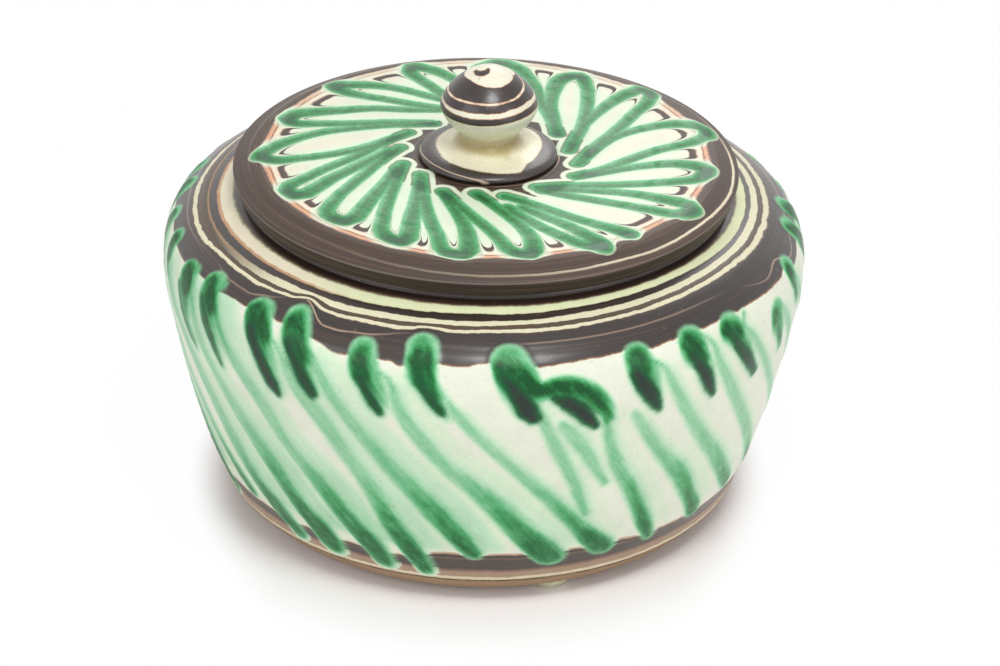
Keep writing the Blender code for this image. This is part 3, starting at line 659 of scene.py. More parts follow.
# Two cream lines: one winds in over the dark rim, one runs round the knob's foot. Degrees, millimetres from
# the middle, strength
lidThread = ((-60, 66, 0), (-20, 67.6, 0.15), (4, 68.3, 0.35), (18, 68.3, 0.6), (30, 68.1, 0.8),
             (41, 68.5, 0.9), (56, 68.3, 1), (76, 68.9, 1), (89, 68.5, 1), (102, 67.9, 0.7),
             (120, 67.6, 0.2), (150, 66, 0.2), (180, 65, 0.5), (-150, 65.4, 0.6), (-120, 65.6, 0.2))
lidCollar = ((-160, 20.5, 0.3), (-60, 20.4, 0), (0, 20, 0.2), (11, 20.2, 0.9), (23, 20.6, 0.8),
             (40, 20.8, 0.5), (62, 20.5, 0.5), (87, 20.2, 0.9), (101, 19.8, 0.9), (120, 20.5, 0.7),
             (150, 20.8, 0.3))


# How the green lies on the lid, as on the jar
lidStains = {
    "thin": 0.6, "thicker": 0.24, "full": (0.1, 2.0), "poolGreen": 0.1, "poolSpread": (-3.5, 1),
    "washGreen": 0.1, "washFull": (-3.4, -0.5), "coal": 0.46, "coalPool": (-2.4, 1.6), "coalEdge": (0.2, 2.0),
    "raised": (-0.6, 1.5),
}


def lidOutline():
    # the fine top runs from the middle outwards, so that its run is the distance from the middle
    form = lidForm
    edgeRound, flangeRound = form["edgeRound"], form["flangeRound"]
    middleGap, flangeGap, undersideGap = form["wideGaps"]
    top = form["edgeHeight"] + form["bandRise"]
    underside = top - form["thickness"]
    flangeOutside = jarForm["mouthRadius"] - form["flangeClearance"]
    flangeInside = flangeOutside - form["flangeThickness"]
    flangeFoot = flangeRound - form["flangeDepth"]
    lowerEdge = form["radius"] - form["edgeTaper"]
    slope = math.degrees(math.atan2(form["bandRise"], form["bandWidth"]))
    flatEdge = (form["radius"] - form["bandWidth"], top)
    flangeEdge = [(lowerEdge - edgeRound, 0), (flangeOutside, 0), (flangeOutside, flangeFoot)]
    arris = arc((form["radius"] - edgeRound, form["edgeHeight"] - edgeRound), edgeRound, 90 - slope, 0, 4)
    band = [flatEdge] + placed(form["bandMiddle"], arris[0], flatEdge)[::-1] + [arris[0]]
    return joined(
        straights([(0, top), (form["underKnob"], top), flatEdge], (middleGap, form["topGap"])),
        evenly(curveThrough(band, 8), form["topGap"]),
        arris,
        evenly([arris[-1], (lowerEdge, edgeRound)], form["topGap"]),
        arc((lowerEdge - edgeRound, edgeRound), edgeRound, 0, -90, 3),
        straights(flangeEdge, (flangeGap, flangeGap)),
        arc((flangeOutside - flangeRound, flangeFoot), flangeRound, 0, -90, 3),
        arc((flangeInside + flangeRound, flangeFoot), flangeRound, 270, 180, 3),
        evenly([(flangeInside, flangeFoot), (flangeInside, underside - flangeRound)], flangeGap),
        arc((flangeInside - flangeRound, underside - flangeRound), flangeRound, 0, 90, 3),
        evenly([(flangeInside - flangeRound, underside), (0, underside)], undersideGap),
    )


def lidFields(right, back, along):
    count, look = len(right), lidStains
    top = np.flatnonzero(along < lidForm["topRun"])
    x, y = right[top], back[top]
    reach = np.full(len(top), farAway)
    for tip, points in lidLoops:
        line = []
        for index, (a, b) in enumerate(points):
            closeness = max(0, 1 - abs(index - tip) / lidForm["tipSpan"])
            line.append((a, b, lidForm["loopRadius"] + lidForm["tipWidening"] * closeness))
        reach = np.maximum(reach, lineReach(x, y, curveThrough(line))[0])
    pool = np.full(len(top), farAway)
    for a, b, size in lidPools:
        pool = np.maximum(pool, size - np.hypot(x - a, y - b))
    fields = {
        "inkReach": np.full(count, farAway), "inkDepth": np.full(count, 0.5), "inkWash": np.zeros(count),
        "coal": np.zeros(count),
    }
    fields["inkReach"][top] = reach
    fields["inkDepth"][top] = (
        look["thin"] + look["thicker"] * easeStep(reach, *look["full"])
        + look["poolGreen"] * easeStep(pool, *look["poolSpread"])
    )
    fields["inkWash"][top] = look["washGreen"] * easeStep(reach, *look["washFull"])
    pooled = easeStep(pool, *look["coalPool"]) * easeStep(reach, *look["coalEdge"])
    fields["coal"][top] = look["coal"] * pooled
    angle, radius = degreesRound(right, back), np.hypot(right, back)
    for name, table in (("thread", lidThread), ("collar", lidCollar)):
        fields[name] = radius - roundTable(angle, table)
        fields[name + "Strength"] = roundTable(angle, table, 2) * (along < lidForm["topRun"])
    return fields


def lidMesh():
    mesh = turnedShape("lid_cover", lidOutline(), 0.0, lidForm["sides"], heights["lidUnderside"])
    spots = places(mesh) / perMillimetre
    along = readFloats(mesh, "along")
    fields = lidFields(spots[:, 0], spots[:, 1], along)
    start, full, ending, end = lidForm["glazeRuns"]
    onTop = easeStep(along, start, full) * easeStep(-along, -end, -ending)
    raised = easeStep(fields["inkReach"], *lidStains["raised"])
    raiseSurface(mesh, lidForm["strokeRise"] * (raised - 1) * onTop)
    writeFloats(mesh, fields)
    return mesh


knobForm = {
    "footRadius": 0.0192, "dishRadius": 0.0147, "footRise": 0.0025, "edgeRise": 0.0005, "dishRise": 0.0012,
    "dishShare": 0.38, "offset": 0.0005, "neckRadius": 0.0078, "neckHeight": 0.0064, "radius": 0.0135,
    "height": 0.0152, "crown": 0.0116, "belly": 0.0108, "ballPower": 1.57, "jointRadius": 0.0103,
    "sides": 300, "gap": 0.00028,
    "neckDrop": 20, "capRun": 8, "footTop": 6.0,        # in millimetres
}

# Edges of the knob's slip, in millimetres under its top, from the cap down: cream, dark, cream line, dark,
# cream line, dark, cream. The lines wind down round the back.
knobEdges = (
    ((-180, 3.1), (-94, 2.9), (-54, 2.6), (-10, 3.1), (22, 3.3), (53, 2.85), (82, 2.5), (110, 3.0),
     (180, 3.1)),
    ((-180, 7.5), (-130, 7.1), (-87, 6.7), (-64, 6.7), (-41, 6.55), (-16, 6.4), (1, 6.4), (20, 6.2),
     (41, 5.85), (62, 5.2), (84, 4.5), (100, 3.6), (118, 3.0), (180, 3.1)),
    ((-180, 8.3), (-130, 7.8), (-87, 7.35), (-64, 7.3), (-41, 7.1), (-16, 6.85), (1, 6.85), (20, 6.65),
     (41, 6.35), (62, 5.75), (84, 5.0), (100, 4.1), (118, 3.2), (180, 3.1)),
    ((-180, 10.6), (-130, 9.9), (-79, 9.15), (-59, 9.3), (-40, 9.1), (-23, 8.9), (-5, 8.7), (14, 8.6),
     (34, 8.1), (59, 7.8), (87, 8.1), (130, 7.8), (180, 7.5)),
    ((-180, 11.8), (-130, 10.8), (-79, 9.95), (-59, 10.4), (-40, 10.4), (-23, 10.4), (-5, 10.2), (14, 10.1),
     (34, 9.6), (59, 9.2), (87, 9.2), (130, 8.7), (180, 8.3)),
    ((-180, 11.8), (-140, 11.9), (-90, 12.2), (-52, 12.2), (-22, 12.15), (-4, 11.9), (19, 11.5), (47, 11),
     (86, 10.9), (130, 10.8), (180, 10.6)),
)
# The dark curl on the cap: millimetres right and back of the knob's middle, radius
knobCurl = ((-3.9, -1.1, 0.55), (-3.25, -2.4, 0.8), (-1.9, -2.9, 0.95), (-0.9, -2.75, 0.85),
            (-0.4, -1.7, 0.4))

# Where the cream of the dish ends and where a fine line runs on the slope round it: degrees, millimetres
# from the middle
knobDish = ((-150, 15.2), (-101, 14.8), (-76, 14.6), (-51, 15.2), (-29, 15.6), (-7, 16.4), (11, 17.2),
            (30, 17.8), (35, 17.2), (44, 15.6), (57, 15.2), (77, 14.7), (94, 15.2), (111, 15.7), (129, 16.3),
            (165, 15.6))
knobLine = ((-150, 19.8), (-110, 19.3), (-92, 18.9), (-70, 18.5), (-48, 18.3), (-29, 18.5), (-10, 18.9),
            (0, 19.3), (40, 21), (90, 21), (150, 20.5))


def ballLine(angles, depth):
    # the ball's outline at angles from its widest ring, up by a depth or, below 0, down
    power = knobForm["ballPower"]
    line = []
    for angle in angles:
        radius = knobForm["radius"] * math.cos(angle)
        rise = depth * (1 - (radius / knobForm["radius"]) ** power) ** (1 / power)
        line.append((radius, knobForm["height"] + rise))
    return line


def knobOutline():
    # from the middle of the top, down the ball and the neck, over the dish and round the foot
    form = knobForm
    crown = ballLine(np.radians(np.linspace(89.9, 0, 60)), form["crown"])
    crown[0] = (0, form["height"] + form["crown"])
    jointAngle = math.acos(form["jointRadius"] / form["radius"])
    under = ballLine(np.linspace(0, jointAngle, 16), -form["belly"])
    neckEnd = between(form["neckRadius"], form["dishRadius"], form["dishShare"])
    neck = curveThrough([
        under[-1], (form["neckRadius"], form["neckHeight"]), (neckEnd, form["footRise"] + form["dishRise"]),
        (form["dishRadius"], form["footRise"]),
    ], 12)
    turns = [(math.sin(a), math.cos(a)) for a in np.linspace(0, math.pi / 2, 16)]
    edge = placed(turns, (form["dishRadius"], form["edgeRise"]), (form["footRadius"], form["footRise"]))
    skin = evenly(joined(crown, under, neck, edge), form["gap"])
    return joined(skin, [(form["footRadius"], 0), (form["footRadius"] * 0.5, 0), (0, 0)])


def knobFields(right, back, height, along, outline):
    # right and back are from the knob's own middle, height is above its foot, all in millimetres
    angle, radius = degreesRound(right, back), np.hypot(right, back)
    line = np.array(outline) / perMillimetre
    below = line[0, 1] - line[:, 1]
    neck = int(np.argmax(below > knobForm["neckDrop"]))
    gaps = []
    for table in knobEdges:
        drop = np.interp(angle, *zip(*table))
        gaps.append(along - np.interp(drop, below[:neck], runOf(line)[:neck]))
    nearest = np.min(np.abs(gaps), axis=0)
    dark = (np.sum(np.array(gaps) > 0, axis=0) % 2) == 1
    slipReach = np.where(dark, nearest, -nearest)
    curl = lineReach(right, back, curveThrough(knobCurl))[0]
    slipReach = np.where(along < knobForm["capRun"], np.maximum(slipReach, curl), slipReach)
    return {
        "slipReach": np.clip(slipReach, -6, 6), "onFoot": np.where(height < knobForm["footTop"], 1.0, 0.0),
        "dishRun": radius - roundTable(angle, knobDish), "lineGap": radius - roundTable(angle, knobLine),
    }


def knobMesh():
    outline = knobOutline()
    mesh = turnedShape("lid_ball", outline, 0.0, knobForm["sides"], heights["knobFoot"], knobForm["offset"])
    right, back, height = ((places(mesh) - (knobForm["offset"], 0, heights["knobFoot"])) / perMillimetre).T
    writeFloats(mesh, knobFields(right, back, height, readFloats(mesh, "along"), outline))
    return mesh


padForm = {
    "radius": 0.0058, "contact": 0.0048, "height": 0.0030, "edge": 0.0007, "circle": 0.064,
    "frontTurn": 17.8, "count": 3, "sides": 72, "gaps": (0.0008, 0.0012),
}


def padMesh(name, number):
    # a soft clear dot with a rounded rim, flat where it rests
    form = padForm
    flare = math.degrees(math.atan2(form["radius"] - form["contact"], form["height"]))
    lower, upper = form["contact"] - form["edge"], form["radius"] - form["edge"]
    outline = joined(
        evenly([(0, 0), (lower, 0)], form["gaps"][0]),
        arc((lower, form["edge"]), form["edge"], 270, 360 - flare, 5),
        arc((upper, form["height"] - form["edge"]), form["edge"], -flare, 90, 6),
        evenly([(upper, form["height"]), (0, form["height"])], form["gaps"][1]),
    )
    mesh = turnedShape(name, outline, 0.0, form["sides"], 0.0)
    turn = math.radians(form["frontTurn"]) + (number - 1) * math.tau / form["count"]
    mesh.transform(Matrix.Translation((form["circle"] * math.sin(turn), -form["circle"] * math.cos(turn), 0)))
    return mesh


def paint(code):
    # a hex colour in linear light
    channels = [int(code[i:i + 2], 16) / 255 for i in (0, 2, 4)]
    return [c / 12.92 if c <= 0.04045 else ((c + 0.055) / 1.055) ** 2.4 for c in channels] + [1.0]


def feed(tree, socket, value):
    # a socket takes a link, a number or a hex colour
    if isinstance(value, bpy.types.NodeSocket):
        tree.links.new(value, socket)
    else:
        socket.default_value = paint(value) if isinstance(value, str) else value


def addNode(tree, kind, inputs=None, **settings):
    made = tree.nodes.new(kind)
    for name, value in settings.items():
        setattr(made, name, value)
    for name, value in (inputs or {}).items():
        feed(tree, made.inputs[name], value)
    return made


def attribute(tree, name):
    return addNode(tree, "ShaderNodeAttribute", attribute_name=name).outputs["Fac"]


def maths(tree, operation, *values):
    return addNode(tree, "ShaderNodeMath", dict(enumerate(values)), operation=operation).outputs[0]


def chained(tree, operation, first, *others):
    for value in others:
        first = maths(tree, operation, first, value)
    return first


def times(tree, *values):
    return chained(tree, "MULTIPLY", *values)


def plus(tree, *values):
    return chained(tree, "ADD", *values)


def minus(tree, first, second):
    return maths(tree, "SUBTRACT", first, second)


def rest(tree, share):
    # what a share leaves of the whole
    return minus(tree, 1.0, share)


def either(tree, share, first, second):
    # between two numbers, as blend is between two colours
    return plus(tree, times(tree, first, rest(tree, share)), times(tree, second, share))


def fade(tree, value, low, high, start=0.0, end=1.0):
    # an eased step from start at low to end at high
    inputs = {"Value": value, "From Min": low, "From Max": high, "To Min": start, "To Max": end}
    return addNode(tree, "ShaderNodeMapRange", inputs, interpolation_type="SMOOTHSTEP").outputs[0]


def within(tree, value, rise, fall):
    return times(tree, fade(tree, value, *rise), fade(tree, value, *fall, 1.0, 0.0))


def blend(tree, share, first, second):
    return addNode(tree, "ShaderNodeMix", {0: share, 6: first, 7: second}, data_type="RGBA").outputs[2]


def separate(tree, where):
    return addNode(tree, "ShaderNodeSeparateXYZ", {"Vector": where}).outputs


def combined(tree, x, y, z=0.0):
    return addNode(tree, "ShaderNodeCombineXYZ", {"X": x, "Y": y, "Z": z}).outputs[0]


def lengthOf(tree, vector):
    return addNode(tree, "ShaderNodeVectorMath", {0: vector}, operation="LENGTH").outputs["Value"]


def colourRamp(tree, value, bands, low=0.0, high=1.0):
    # Bands are (from, to, hex colour, alpha), within low to high, and the colours flow between them. The
    # alphas say how dark the slip is.
    stops = [(mark, code, alpha) for start, end, code, alpha in bands for mark in sorted({start, end})]
    share = addNode(tree, "ShaderNodeMapRange", {"Value": value, "From Min": low, "From Max": high})
    ramp = addNode(tree, "ShaderNodeValToRGB", {"Fac": share.outputs[0]})
    elements = ramp.color_ramp.elements
    while len(elements) < len(stops):
        elements.new(0.5)
    for element, (mark, code, alpha) in zip(elements, stops):
        element.position = (mark - low) / (high - low)
        element.color = paint(code)[:3] + [alpha]
    return ramp.outputs["Color"], ramp.outputs["Alpha"]


def noise(tree, where, scale, detail=2.0, roughness=0.5):
    inputs = {"Vector": where, "Scale": scale, "Detail": detail, "Roughness": roughness}
    return addNode(tree, "ShaderNodeTexNoise", inputs).outputs["Fac"]


def swaying(tree, where, amount, scale, detail=4.0, roughness=0.65):
    # a noise either side of 0
    return times(tree, minus(tree, noise(tree, where, scale, detail, roughness), 0.5), amount)


def thinLine(tree, name, wander, sway, near, far, strength=1.0):
    # a line where the attribute passes 0, swaying with the slip
    gap = maths(tree, "ABSOLUTE", plus(tree, attribute(tree, name), times(tree, wander, sway)))
    return fade(tree, gap, near, far, strength, 0.0)


def scaled(tree, vector, factor):
    made = addNode(tree, "ShaderNodeVectorMath", {0: vector}, operation="SCALE")
    feed(tree, made.inputs["Scale"], factor)
    return made.outputs[0]


def objectPlace(tree):
    return addNode(tree, "ShaderNodeTexCoord").outputs["Object"]


def newGroup(name, inputs, outputs):
    # inputs are named with their values, which are colours where they are text
    tree = bpy.data.node_groups.new(name, "ShaderNodeTree")
    for title, value in inputs.items():
        kind = "NodeSocketColor" if isinstance(value, str) else "NodeSocketFloat"
        socket = tree.interface.new_socket(title, in_out="INPUT", socket_type=kind)
        socket.default_value = paint(value) if isinstance(value, str) else value
    for title in outputs:
        kind = "NodeSocketColor" if title == "Color" else "NodeSocketFloat"
        tree.interface.new_socket(title, in_out="OUTPUT", socket_type=kind)
    return tree, addNode(tree, "NodeGroupInput").outputs, addNode(tree, "NodeGroupOutput").inputs


def usedGroup(tree, group, **inputs):
    return addNode(tree, "ShaderNodeGroup", inputs, node_tree=group).outputs


# Noises are (scale, detail, roughness), with how far they go in front where they sway
grainForm = {
    "fine": (1400.0, 3.0, 0.6), "broad": (120.0, 3.0, 0.55), "waves": (60.0,),
    "flecks": (620.0,), "fleckShare": (0.69, 0.76),
    "pinholes": 260.0, "pinholeSize": (0.06, 0.14), "patches": (75.0, 1.0), "patchShare": (0.58, 0.64),
}


def glazeGrainGroup():
    # fine mottling, dark flecks and pinholes of a glaze on earthenware, and how it waves
    outputs = ("Mottle", "Flecks", "Pinholes", "Waviness")
    tree, given, result = newGroup("glazeGrain", {"Scale": 1.0}, outputs)
    form = grainForm
    where = scaled(tree, objectPlace(tree), given["Scale"])
    fine, broad = noise(tree, where, *form["fine"]), noise(tree, where, *form["broad"])
    feed(tree, result["Mottle"], plus(tree, times(tree, fine, 0.5), times(tree, broad, 0.5)))
    feed(tree, result["Flecks"], fade(tree, noise(tree, where, *form["flecks"]), *form["fleckShare"]))
    dots = addNode(tree, "ShaderNodeTexVoronoi", {"Vector": where, "Scale": form["pinholes"]})
    holes = fade(tree, dots.outputs["Distance"], *form["pinholeSize"], 1.0, 0.0)
    patches = fade(tree, noise(tree, where, *form["patches"]), *form["patchShare"])
    feed(tree, result["Pinholes"], times(tree, holes, patches))
    feed(tree, result["Waviness"], noise(tree, where, *form["waves"]))
    return tree


inkLook = {
    "greens": ((0, "e6e9d8"), (0.1, "d6e8cb"), (0.2, "c2e1c3"), (0.35, "9fd2a9"), (0.5, "74bd8a"),
               (0.65, "4aa366"), (0.8, "267f40"), (1, "004c20")),
    "pooled": "06522a", "pooledFrom": (0.0, 0.55), "charcoal": "262f29", "charcoalFrom": (0.4, 0.95),
    "edge": (-0.6, 1.05), "ragged": (0.6, 700.0, 4.0, 0.7), "mottle": (0.55, 300.0, 6.0, 0.75),
    "streakShow": 0.7, "present": (0.0, 0.1),
}


def trailedInkGroup():
    # copper green over the slip: thin washes pale mint, thick strokes deep green, charcoal where it pools
    tree, given, result = newGroup(
        "trailedInk",
        {"Base": "e6e9d8", "Reach": 0.0, "Depth": 0.0, "Wash": 0.0, "Coal": 0.0, "Dark": 0.0, "Streak": 0.5},
        ("Color", "Cover"),
    )
    look = inkLook
    where = objectPlace(tree)
    cover = fade(tree, plus(tree, given["Reach"], swaying(tree, where, *look["ragged"])), *look["edge"])
    streak = times(tree, minus(tree, given["Streak"], 0.5), look["streakShow"])
    uneven = plus(tree, swaying(tree, where, *look["mottle"]), streak, 1.0)
    depth = times(tree, given["Depth"], uneven)
    thin = times(tree, given["Wash"], uneven, rest(tree, cover))
    amount = plus(tree, thin, times(tree, depth, cover))
    greens = [(mark, mark, code, 1.0) for mark, code in look["greens"]]
    wet = colourRamp(tree, amount, greens)[0]
    thick = colourRamp(tree, depth, greens)[0]
    onPale = blend(tree, fade(tree, amount, *look["present"]), given["Base"], wet)
    onDark = blend(tree, cover, given["Base"], thick)
    colour = blend(tree, given["Dark"], onPale, onDark)
    coal = times(tree, given["Coal"], uneven)
    for title in ("pooled", "charcoal"):
        share = times(tree, fade(tree, coal, *look[title + "From"]), cover)
        colour = blend(tree, share, colour, look[title])
    feed(tree, result["Color"], colour)
    feed(tree, result["Cover"], cover)
    return tree


# The noise's scale round the pot and outwards, and its roughness
brushForm = {"Lines": (14.0, 1.6, 0.6), "Broad": (22.0, 0.35, 0.55)}


def wheelLinesGroup():
    # fine lines round the pot, as a brush leaves them on the turning wheel
    tree, given, result = newGroup("wheelLines", {"Run": 0.0}, brushForm)
    x, y, z = separate(tree, objectPlace(tree))
    for title, (around, outwards, roughness) in brushForm.items():
        run = times(tree, given["Run"], outwards)
        stretched = combined(tree, times(tree, x, around), times(tree, y, around), run)
        feed(tree, result[title], noise(tree, stretched, 1.0, 3.0, roughness))
    return tree


def leaningStreakGroup():
    # streaks that follow the limbs: the pattern turns round the pot as it comes down
    tree, given, result = newGroup("leaningStreak", {"Turn": 8.4, "Fineness": 700.0}, ("Streak",))
    x, y, z = separate(tree, objectPlace(tree))
    turn = times(tree, z, given["Turn"])
    cosine, sine = maths(tree, "COSINE", turn), maths(tree, "SINE", turn)
    turnedX = minus(tree, times(tree, x, cosine), times(tree, y, sine))
    turnedY = plus(tree, times(tree, x, sine), times(tree, y, cosine))
    fineness = given["Fineness"]
    stretched = combined(tree, times(tree, turnedX, fineness), times(tree, turnedY, fineness),
                         times(tree, z, 45.0))
    feed(tree, result["Streak"], noise(tree, stretched, 1.0, 4.0, 0.6))
    return tree


glazeGrain = glazeGrainGroup()
trailedInk = trailedInkGroup()
wheelLines = wheelLinesGroup()
leaningStreak = leaningStreakGroup()
print("glaze effects built")


def newMaterial(name):
    material = bpy.data.materials.new(name)
    material.use_nodes = True
    tree = material.node_tree
    return material, tree, tree.nodes["Principled BSDF"]


def inked(tree, slip, reach, dark, streak):
    return usedGroup(
        tree, trailedInk, Base=slip, Reach=reach, Depth=attribute(tree, "inkDepth"),
        Wash=attribute(tree, "inkWash"), Coal=attribute(tree, "coal"), Dark=dark, Streak=streak,
    )


def flecked(tree, grain, colour, finish):
    return blend(tree, times(tree, grain["Flecks"], finish["fleckShow"]), colour, finish["fleck"])


def mottled(tree, grain, colour, finish):
    # lighter and darker by a few hundredths
    return scaled(tree, colour, fade(tree, grain["Mottle"], 0.3, 0.7, *finish["mottle"]))


def slipRoughness(tree, grain, dark, finish):
    # the first number is the pale slip's, the second the dark slip's, the third what the mottling adds
    pale, deep, grainy = finish["rough"]
    return plus(tree, fade(tree, dark, 0, 1, pale, deep), times(tree, grain["Mottle"], grainy))


def glazed(tree, shader, finish, colour, rough, height, coat=0.0):
    strength, distance = finish["bump"]
    bump = addNode(tree, "ShaderNodeBump", {"Height": height, "Strength": strength, "Distance": distance})
    settings = {
        "Base Color": colour, "Roughness": rough, "Normal": bump.outputs[0], "Coat Weight": coat,
        "IOR": 1.5, "Specular IOR Level": finish["gloss"], "Coat Roughness": 0.22,
    }
    for name, value in settings.items():
        feed(tree, shader.inputs[name], value)


jarFinish = {
    # colours by run along the outline: (from, to, colour, how dark)
    "foot": ((-2, 6.4, "a08468", 0.0), (6.6, 6.9, "4a3a30", 0.4), (7.1, 7.6, "dfd0b4", 0.0),
             (7.8, 7.8, "5a463a", 0.3), (8.0, 8.9, "dfd0b4", 0.0), (9.2, 10.8, "a88d76", 0.1),
             (11.2, 11.2, "8a6f60", 0.3), (12.0, 12.0, "6a5248", 0.5), (12.3, 16.4, "33271f", 1.0),
             (16.7, 17.3, "5c463a", 0.8), (17.6, 18.4, "33271f", 1.0), (18.7, 18.7, "b39479", 0.2),
             (19.3, 19.3, "c9ab8e", 0.1), (19.7, 19.7, "e6e9d8", 0.0)),
    # the shoulder's last stops, dark brown from 103.6 over the lip, are painted shade under the lid's
    # overhanging edge
    "shoulder": ((82, 83.75, "e6e9d8", 0.0), (84.0, 84.0, "a87a56", 0.3), (84.3, 84.3, "4a372e", 0.9),
                 (84.6, 92.7, "261c18", 1.0), (93.0, 93.0, "6a5444", 0.5), (93.15, 93.9, "e3dcbd", 0.0),
                 (94.1, 94.1, "463426", 0.8), (94.8, 94.8, "54442f", 0.6), (95.6, 95.6, "463426", 0.8),
                 (95.85, 97.45, "e4dfbe", 0.0), (97.7, 100.05, "2b201b", 1.0), (100.3, 100.3, "dfe0b4", 0.0),
                 (101, 101, "e2e8bc", 0.0), (103.0, 103.0, "dde2b8", 0.0), (103.6, 103.6, "6a5644", 0.6),
                 (104.2, 106, "2a1e18", 1.0)),
    # on the left the stripe by the lid is cream with a peach edge, and the one outside it thins to peach:
    # from, to, colour, how strong, and the X it starts at
    "leftStripes": ((100.4, 103.3, "efe3ca", 0.9, -0.03), (99.9, 101.0, "c08a62", 0.85, -0.03),
                    (95.4, 98.0, "2e221c", 0.9, -0.053), (96.5, 97.6, "b58c6c", 0.75, -0.053)),
    "wander": (1.1, 260.0),     # how far and how finely the slip's edges wander
    "thread": "d8b8a0", "threadWidth": (0.3, 0.1, 0.42), "threadShow": 0.62,
    "threadBand": ((84.1, 84.4), (92.6, 92.9)),
    "rust": "5a4030", "rustLines": (0.5, 0.72), "rustShow": 0.5,
    "speck": "3a3a30", "fleck": "9c8a6c", "fleckShow": 0.22, "mottle": (0.94, 1.04),
    "clay": "b59474", "clayRuns": (-0.2, 0.1), "inside": "e6e6cc", "insideRuns": (107, 109),
    "rough": (0.22, 0.3, 0.12), "wheelRough": 0.12, "bareRough": 0.7, "bareRuns": (6.4, 12),
    "streaks": {"Turn": 8.4, "Fineness": 520.0},
    "relief": (0.35, 0.6, 1.2),     # of the mottling, the pinholes and the waviness
    "grain": 1.0, "bump": (0.35, 0.00025), "gloss": 0.3, "shine": 0.7,
}


def jarGlaze():
    material, tree, shader = newMaterial("jar trailed glaze")
    finish = jarFinish
    grain = usedGroup(tree, glazeGrain, Scale=finish["grain"])
    where = objectPlace(tree)
    wander = swaying(tree, where, *finish["wander"])
    run = attribute(tree, "slipHeight")
    edgeRun = plus(tree, run, wander)
    foot, footDark = colourRamp(tree, edgeRun, finish["foot"], -2, 22)
    # the shoulder's ramp ends in painted shade: dark brown under the lid's edge and on the lip
    shoulder, shoulderDark = colourRamp(tree, edgeRun, finish["shoulder"], 82, 106)
    upper = fade(tree, run, 49, 51)
    slip = blend(tree, upper, foot, shoulder)
    dark = either(tree, upper, footDark, shoulderDark)
    sideways = separate(tree, where)["X"]
    for low, high, colour, strength, start in finish["leftStripes"]:
        left = fade(tree, sideways, start - 0.022, start, 1.0, 0.0)
        stripe = within(tree, edgeRun, (low, low + 0.3), (high - 0.4, high))
        slip = blend(tree, times(tree, left, stripe, strength), slip, colour)
    thread = thinLine(tree, "thread", wander, *finish["threadWidth"])
    thread = times(tree, thread, attribute(tree, "threadStrength"))
    inBand = within(tree, run, *finish["threadBand"])
    slip = blend(tree, times(tree, thread, inBand, finish["threadShow"]), slip, finish["thread"])
    along = attribute(tree, "along")
    wheel = usedGroup(tree, wheelLines, Run=along)
    rusty = times(tree, fade(tree, wheel["Lines"], *finish["rustLines"]), dark, finish["rustShow"])
    slip = blend(tree, rusty, slip, finish["rust"])
    streak = usedGroup(tree, leaningStreak, **finish["streaks"])["Streak"]
    ink = inked(tree, slip, attribute(tree, "inkReach"), dark, streak)
    specks = fade(tree, attribute(tree, "speckReach"), -0.12, 0.1)
    colour = blend(tree, specks, ink["Color"], finish["speck"])
    colour = flecked(tree, grain, colour, finish)
    colour = blend(tree, fade(tree, along, *finish["clayRuns"], 1.0, 0.0), colour, finish["clay"])
    colour = blend(tree, fade(tree, along, *finish["insideRuns"]), colour, finish["inside"])
    colour = mottled(tree, grain, colour, finish)
    rough = slipRoughness(tree, grain, dark, finish)
    rough = plus(tree, rough, times(tree, wheel["Broad"], finish["wheelRough"]))
    bare = fade(tree, along, *finish["bareRuns"], 1.0, 0.0)
    rough = maths(tree, "MAXIMUM", rough, times(tree, bare, finish["bareRough"]))
    mottle, pinholes, waviness = finish["relief"]
    height = minus(tree, times(tree, grain["Mottle"], mottle), times(tree, grain["Pinholes"], pinholes))
    height = plus(tree, height, times(tree, grain["Waviness"], waviness))
    # the dark slip shines more than the pale ground
    shine = times(tree, dark, rest(tree, ink["Cover"]), finish["shine"])
    glazed(tree, shader, finish, colour, rough, height, shine)
    return material


